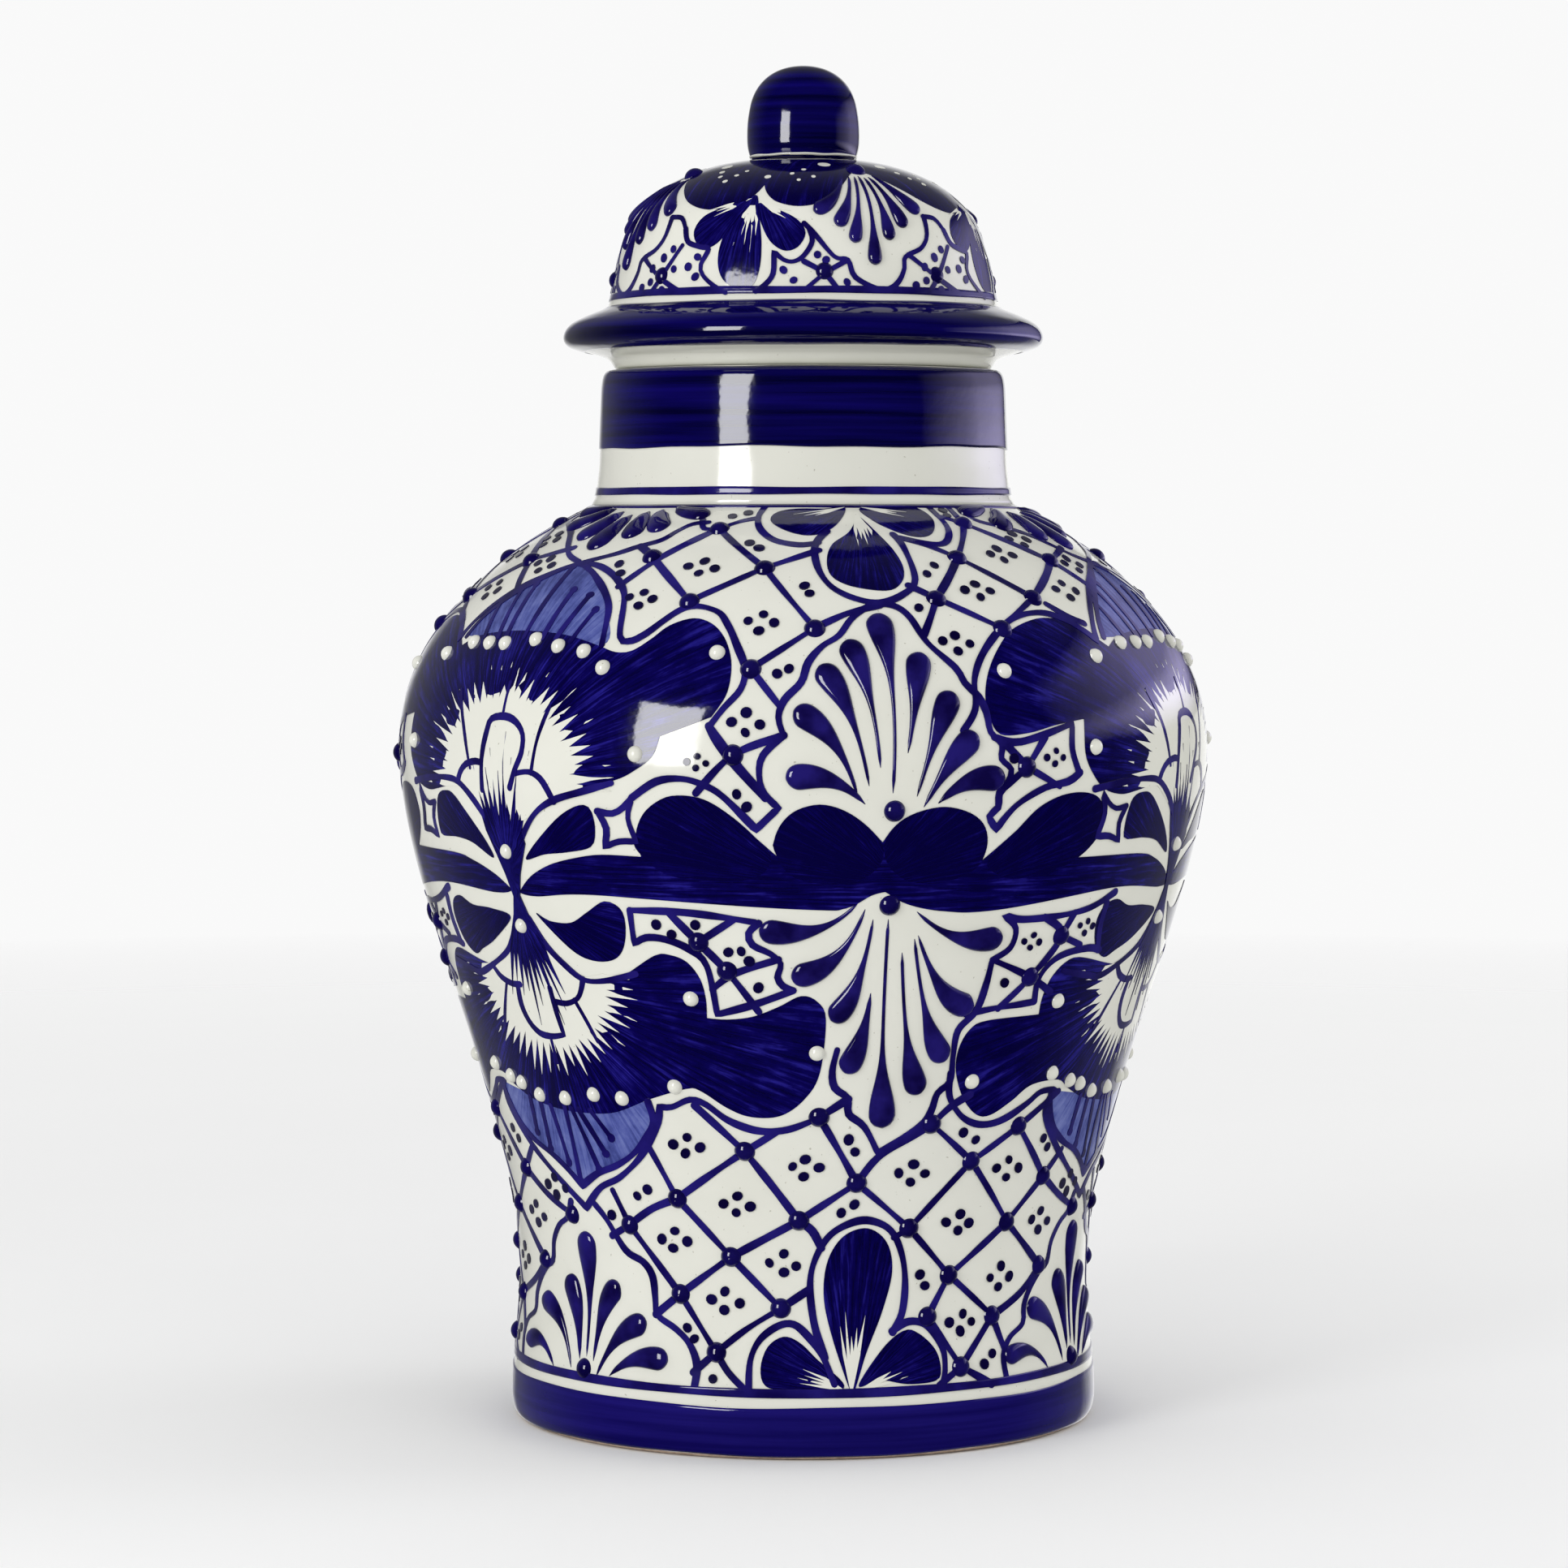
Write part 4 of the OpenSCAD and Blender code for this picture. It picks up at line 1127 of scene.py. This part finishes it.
def lid_flames(rng):
    marks = (
        ((-41.5, 34), (9, 9), (15, 17), (-112, -80), 5),
        ((-43, 32), (7, 6), (13, 10), (-162, -140), 3),
        ((-40.5, 31), (7, 6), (13, 10), (-46, -22), 3),
    )
    return flames(lid_wall, marks, rng, ragged=0.6)


def lid_contours(rng):
    """The lines round the fan and the flower, and the lid's net."""
    contours = (
        # fan's edge
        [(-25, 23.3), (-22, 20.3), (-16, 13.3), (-12, 12.3), (-10, 7.3), (-3, 3.8), (1, 4.3), (4, 6.8),
         (6, 10.3), (6.3, 12.8), (8, 14.3), (13, 16.3), (16, 19.3), (17, 22.3), (17.3, 26.3)],
        # flower's edge and the net beside it
        ((-65, 22.3), (-63, 18.3), (-58, 16.6), (-55, 15.8), (-57, 11.3), (-56, 8.3), (-52, 5.0),
         (-48, 2.8)),
        ((-39, 3.1), (-36.5, 4.8), (-34, 8.3), (-34, 14.8), (-34, 14.8), (-31, 12.3), (-28, 11.8),
         (-25, 13.6), (-22.5, 17.8), (-23.5, 21.8)),
        ((-73, 26.3), (-68, 25.8), (-65, 22.3)),
        ((-25, 11.8), (-19, 8.3), (-15, 3.3)), ((-12, 12.3), (-19, 8.3), (-25, 3.3)),
        ((8, 14.3), (18, 7.8), (27, 3.3)), ((14, 3.3), (18, 7.8), (25, 17.3)),
    )
    return strokes(lid_wall, contours, 1.5, rng)


def lid_net_dots(rng):
    places = (
        (-21, 13.8), (-18.5, 12.3), (-12.5, 5.8), (-31, 9.3), (-28, 6.3), (28.5, 10.8), (31.5, 13.6),
        (31.5, 7.8), (23, 4.8), (18, 13.8), (21.5, 16.3), (13.5, 10.8), (13.5, 6.8), (9.5, 5.3),
        (23, 10.3), (19, 4.3),
    )
    return dots(lid_wall, places, (1.1, 1.35), rng)


def rosette_dots_and_highlights(rng):
    """White dots on the rosette, each with its radius in mm. Some are the rosette's own white marks, and
    some are painted highlights: white glaze spots that stand for the shine on the dome.
    """
    places = (
        (-40, 42.5, 1.0), (-55, 44, 0.7), (-58, 40.5, 0.8), (-63, 43.5, 0.7), (-52, 47, 0.6),
        (-30, 44.5, 0.7), (-25, 47.5, 0.7), (-21, 42.5, 0.7), (-27, 40.5, 0.6), (-14, 52.5, 1.9),
        (-70, 52, 1.7), (-66, 47, 0.9),
    )
    return [Shape(dot(lid_wall, *place, rng)) for place in places]


def paint_lid():
    rng = random.Random(13)
    paper = lid_flames(rng)
    line = lid_contours(rng) + lid_net_dots(rng)
    # The rosette's white dots, partly painted highlights, join the white layer
    paper += rosette_dots_and_highlights(rng)
    paint("lid_rosette_and_flowers", lid_wall, rosette_and_flower(), LID_COLUMNS, FILL_LIFT, FILL,
          spacing=3.0)
    # White layer: the flowers' white flames and the rosette's white dots, some of which are painted
    # highlights
    paint("lid_flower_gaps_and_highlights", lid_wall, paper, LID_COLUMNS, PAPER_LIFT, WHITE)
    paint("lid_net_lines", lid_wall, line, LID_COLUMNS, LINE_LIFT, LINE)


paint_lid()


# ---------------------------------------------------------------- raised beads and drops

# Each drop's head, bend and tail as (turn, rise), and the width of its head in mm
DROPS = {
    "jar_shoulder_drops": (
        ((-26, 295), (-19, 296), (-13, 299), 6), ((-20, 287), (-14, 289), (-11, 298), 8),
        ((-8.5, 280), (-6, 287), (-5.5, 296), 8), ((-0.5, 275), (-0.5, 285), (-0.5, 294), 8.5),
        ((7, 281), (5, 288), (4, 296), 7.5), ((13.5, 285), (9.5, 290), (8, 297), 7.5),
        ((22.5, 294), (15, 294.5), (11, 299), 6.5),
    ),
    "jar_upper_fan_drops": (
        ((-14, 200), (-8, 203), (-3.5, 193), 7.5), ((-13, 219), (-7, 214), (-4.5, 195), 7.5),
        ((-9.5, 232), (-5, 222), (-3, 198), 7.5), ((-5.5, 240), (-2.5, 228), (-1.5, 203), 7.5),
        ((-0.5, 249), (1, 230), (0.2, 196), 8), ((5, 236), (3.5, 222), (2.2, 207), 7.5),
        ((9, 224), (6, 214), (3.5, 195), 7.5), ((12, 212), (8, 206), (4.5, 192), 7.5),
        ((16, 199), (11, 202), (6.5, 193), 7.5),
    ),
    "jar_lower_fan_drops": (
        ((-18, 157), (-9, 153), (-4, 165), 7.5), ((-13.5, 143), (-6, 144), (-3, 163), 7.5),
        ((-7.5, 130), (-3, 136), (-1.8, 160), 7), ((-5, 114), (-2, 122), (-1.5, 138), 7),
        ((2, 97), (0.5, 125), (0.4, 160), 8), ((8, 107), (4.5, 118), (2.8, 150), 7),
        ((12, 117), (7.5, 124), (4.5, 154), 7), ((15.5, 133), (9.5, 133), (5, 155), 7.5),
        ((18.5, 154), (11, 150), (4.5, 162), 7.5),
    ),
    "jar_foot_fan_drops": (
        ((-25, 26), (-17, 31), (-12, 21), 6), ((-18, 40), (-9, 38), (-6, 22), 7),
        ((-8, 48.5), (-4.5, 42), (-3.5, 25), 7.5), ((-1.5, 62.5), (-1, 50), (-1.5, 26), 8),
        ((7, 48), (2, 44), (0.5, 25), 7), ((13.5, 38), (6, 36), (1.5, 20.5), 7),
        ((18.5, 27.5), (11, 30), (5, 21.5), 7),
    ),
    "lid_fan_drops": (
        ((-22, 27.5), (-15, 29), (-9, 42.5), 5), ((-14.5, 22.5), (-10, 29), (-6, 43), 4.5),
        ((-9.5, 17.5), (-7, 28), (-3.5, 43), 4.2), ((-3.5, 11), (-3, 24), (-1.5, 43.5), 4.5),
        ((2.5, 18.5), (1.5, 26), (0.7, 42.5), 4.2), ((8.5, 22.5), (5.5, 29), (3, 43), 4.5),
        ((16, 27.5), (10.5, 32), (5.5, 44), 5),
    ),
}
DROP_RISE = 1.9
TAIL_WIDTH = 1.1
TAIL_TAPER = 4.0
DROP_RINGS = 26
DROP_SIDES = 8


def drop_mesh(wall, head, bend, tail, width):
    """A ridge of thick glaze along a curve: a round head that thins to a fine tail."""
    head, bend, tail = (np.array(p, float) for p in (head, bend, tail))
    # the rings crowd towards the head, where the shape turns most
    steps = np.linspace(0, 1, DROP_RINGS)[:, None] ** 1.3
    path = (1 - steps) ** 2 * head + 2 * steps * (1 - steps) * bend + steps ** 2 * tail
    flat = np.stack([(path[:, 0] - head[0]) * wall.degree(path[:, 1]), path[:, 1]], axis=1)
    travelled = along(flat)
    ahead = np.gradient(flat, axis=0)
    ahead /= np.hypot(*ahead.T)[:, None]
    radius = width / 2
    beyond = np.maximum(travelled - radius, 0) / (1.5 * width)
    half = TAIL_WIDTH / 2 + (radius - TAIL_WIDTH / 2) * np.exp(-beyond ** 2)
    round_head = np.sqrt(np.clip(1 - (1 - travelled / radius) ** 2, 0.02, 1))
    half *= np.where(travelled < radius, round_head, 1)
    half *= np.clip((travelled[-1] - travelled) / TAIL_TAPER + 0.25, 0, 1)
    height = DROP_RISE * (half / radius) ** 0.55
    verts, faces = [], []
    for i in range(DROP_RINGS):
        for j in range(DROP_SIDES + 1):
            a = math.pi * j / DROP_SIDES
            x = half[i] * math.cos(a)
            lift = height[i] * math.sin(a) + SUNK
            turn = path[i][0] - x * ahead[i][1] / wall.degree(path[i][1])
            verts.append(wall.place(turn, path[i][1] + x * ahead[i][0], lift))
    row = DROP_SIDES + 1
    for i in range(DROP_RINGS - 1):
        for j in range(row):
            k = (j + 1) % row
            faces.append((i * row + k, i * row + j, (i + 1) * row + j, (i + 1) * row + k))
    faces.append(tuple(range(row)))
    faces.append(tuple(reversed(range(len(verts) - row, len(verts)))))
    return verts, faces


def add_drops(node, wall, columns):
    """Rounder drops in place of a CAD node's, repeated at each column."""
    verts, faces = [], []
    for turn, stretch in columns:
        for *places, width in DROPS[node]:
            placed = [(turn + place[0] * stretch, place[1]) for place in places]
            new_verts, new_faces = drop_mesh(wall, *placed, width)
            faces += [tuple(i + len(verts) for i in face) for face in new_faces]
            verts += new_verts
    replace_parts(new_piece(node + "_glazed", body_of(wall), verts, faces, RELIEF), node)


def finish_relief():
    add_drops("jar_shoulder_drops", jar_wall, BLOSSOM_COLUMNS)
    add_drops("jar_foot_fan_drops", jar_wall, BLOSSOM_COLUMNS)
    add_drops("jar_upper_fan_drops", jar_wall, FAN_COLUMNS)
    add_drops("jar_lower_fan_drops", jar_wall, FAN_COLUMNS)
    add_drops("lid_fan_drops", lid_wall, LID_COLUMNS)
    for node in ("jar_net_beads", "jar_fan_beads", "lid_net_beads", "lid_fan_beads"):
        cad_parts[node].material_slots[0].material = BEAD
    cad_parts["jar_blossom_pearls"].material_slots[0].material = WHITE


finish_relief()


# ---------------------------------------------------------------- stage, light and camera

BACKDROP_LEVEL = 0.95
DAYLIGHT_LEVEL = 0.86
LIGHT_ELEVATION = 12
LIGHT_TARGET = 0.2
CAMERA_PITCH = 2.89  # degrees below level
SCREEN_LEVEL = 3.3
SCREEN_TINT = (0.71, 0.65, 1.0)
SCREEN_WIDTH = 1.0
SCREEN_LOW = 0.23
SCREEN_HIGH = 0.6


def sheet(name, corners, material):
    """A four-cornered sheet of the studio, which isn't part of the jar."""
    mesh = bpy.data.meshes.new(name)
    mesh.from_pydata(corners, [], [(0, 1, 2, 3)])
    mesh.materials.append(material)
    piece = bpy.data.objects.new(name, mesh)
    bpy.context.scene.collection.objects.link(piece)
    return piece


def add_floor():
    """A pale floor that fades into the backdrop, so no horizon shows."""
    half = STAGE_SPAN / 2
    corners = [(-half, -half, 0), (half, -half, 0), (half, half, 0), (-half, half, 0)]
    sheet("floor", corners, soft_stage()).visible_glossy = False


def add_softbox(name, azimuth, distance, width, height, power, glossy=True, diffuse=True):
    """A rectangular light that faces the jar's middle. azimuth 0 is in front and grows to the right."""
    light = bpy.data.lights.new(name, "AREA")
    light.shape = "RECTANGLE"
    light.size = width
    light.size_y = height
    light.energy = power
    lamp = bpy.data.objects.new(name, light)
    lamp.visible_glossy = glossy
    lamp.visible_diffuse = diffuse
    a, e = math.radians(azimuth), math.radians(LIGHT_ELEVATION)
    aside = Vector((math.sin(a) * math.cos(e), -math.cos(a) * math.cos(e), math.sin(e))) * distance
    lamp.location = Vector((0, 0, LIGHT_TARGET)) + aside
    lamp.rotation_euler = (-aside).to_track_quat("-Z", "Y").to_euler()
    bpy.context.scene.collection.objects.link(lamp)


def add_camera():
    """The camera stands in front at the height of the jar's neck, and looks slightly down."""
    camera = bpy.data.cameras.new("camera")
    camera.sensor_width = 36
    camera.lens = 114.8
    holder = bpy.data.objects.new("camera", camera)
    holder.location = (-0.0057, -1.4874, 0.2624)
    holder.rotation_euler = (math.radians(90 - CAMERA_PITCH), 0, 0)
    bpy.context.scene.collection.objects.link(holder)
    bpy.context.scene.camera = holder


def soft_screen():
    """Light that is strongest in a low strip and fades towards the screen's edges."""
    nodes = Nodes("soft_screen")
    place = nodes.add("ShaderNodeSeparateXYZ")
    nodes.link(nodes.coords(), place.inputs[0])
    aside = nodes.maths("DIVIDE", nodes.maths("ABSOLUTE", place.outputs["X"], 0), SCREEN_WIDTH / 2)
    across = nodes.ramp(aside, (0, BRIGHT), (0.5, (0.5, 0.5, 0.5)), (1, BLACK))
    height = place.outputs["Z"]
    dim = (0.45, 0.45, 0.45)
    upwards = nodes.ramp(height, (SCREEN_LOW, BLACK), (SCREEN_LOW + 0.06, BRIGHT), (0.31, BRIGHT),
                         (0.36, dim), (0.5, dim), (SCREEN_HIGH, BLACK))
    glow = nodes.add("ShaderNodeEmission", in_Strength=SCREEN_LEVEL)
    tinted = nodes.mix(1.0, SCREEN_TINT, nodes.mix(1.0, across, upwards, "MULTIPLY"), "MULTIPLY")
    nodes.link(tinted, glow.inputs["Color"])
    nodes.link(glow.outputs[0], nodes.tree.nodes["Material Output"].inputs["Surface"])
    nodes.tree.nodes.remove(nodes.shader)
    return nodes.material


def add_screen(azimuth, distance):
    """A softly lit screen beside the jar, seen only in the glaze."""
    left, right = -SCREEN_WIDTH / 2, SCREEN_WIDTH / 2
    corners = [(left, 0, SCREEN_LOW), (right, 0, SCREEN_LOW),
               (right, 0, SCREEN_HIGH), (left, 0, SCREEN_HIGH)]
    screen = sheet("screen", corners, soft_screen())
    turn = math.radians(azimuth)
    screen.location = (distance * math.sin(turn), -distance * math.cos(turn), 0)
    screen.rotation_euler.z = turn
    screen.visible_camera = False
    screen.visible_diffuse = False
    screen.visible_shadow = False


def add_world():
    """The camera sees a white backdrop and the clay gets even daylight, but reflections show a dark room
    that is lighter behind the jar."""
    world = bpy.data.worlds.new("studio")
    world.use_nodes = True
    bpy.context.scene.world = world
    bpy.context.scene.view_settings.view_transform = "Standard"
    tree = world.node_tree
    coords = tree.nodes.new("ShaderNodeTexCoord")
    paths = tree.nodes.new("ShaderNodeLightPath").outputs

    def facing(direction, low, high, level):
        """A soft patch of the surroundings round a direction, between two cosines."""
        cosine = tree.nodes.new("ShaderNodeVectorMath")
        cosine.operation = "DOT_PRODUCT"
        cosine.inputs[1].default_value = direction
        tree.links.new(coords.outputs["Generated"], cosine.inputs[0])
        patch = tree.nodes.new("ShaderNodeMapRange")
        patch.interpolation_type = "SMOOTHSTEP"
        for name, value in (("From Min", low), ("From Max", high), ("To Max", level)):
            patch.inputs[name].default_value = value
        tree.links.new(cosine.outputs["Value"], patch.inputs["Value"])
        return patch.outputs["Result"]

    total = tree.nodes.new("ShaderNodeMath")
    tree.links.new(facing((0, 1, 0), -0.2, 1.0, 0.2), total.inputs[0])
    tree.links.new(facing((0.14, 0.99, 0), 0.85, 1.0, 0.9), total.inputs[1])
    level = total.outputs[0]
    for ray, brightness in (("Is Diffuse Ray", DAYLIGHT_LEVEL), ("Is Camera Ray", BACKDROP_LEVEL)):
        choose = tree.nodes.new("ShaderNodeMix")
        choose.data_type = "FLOAT"
        choose.inputs["B"].default_value = brightness
        tree.links.new(paths[ray], choose.inputs["Factor"])
        tree.links.new(level, choose.inputs["A"])
        level = choose.outputs["Result"]
    shown = tree.nodes["Background"].inputs
    shown["Color"].default_value = (1, 1, 1, 1)
    tree.links.new(level, shown["Strength"])


add_floor()
add_screen(azimuth=112, distance=0.5)
add_world()
add_softbox("window", -38, 1.6, 0.5, 0.85, power=8)
add_softbox("window_shine", -38, 1.59, 0.5, 0.85, power=9, diffuse=False)
add_softbox("right_fill", 105, 1.6, 0.8, 0.8, power=5, glossy=False)
add_camera()
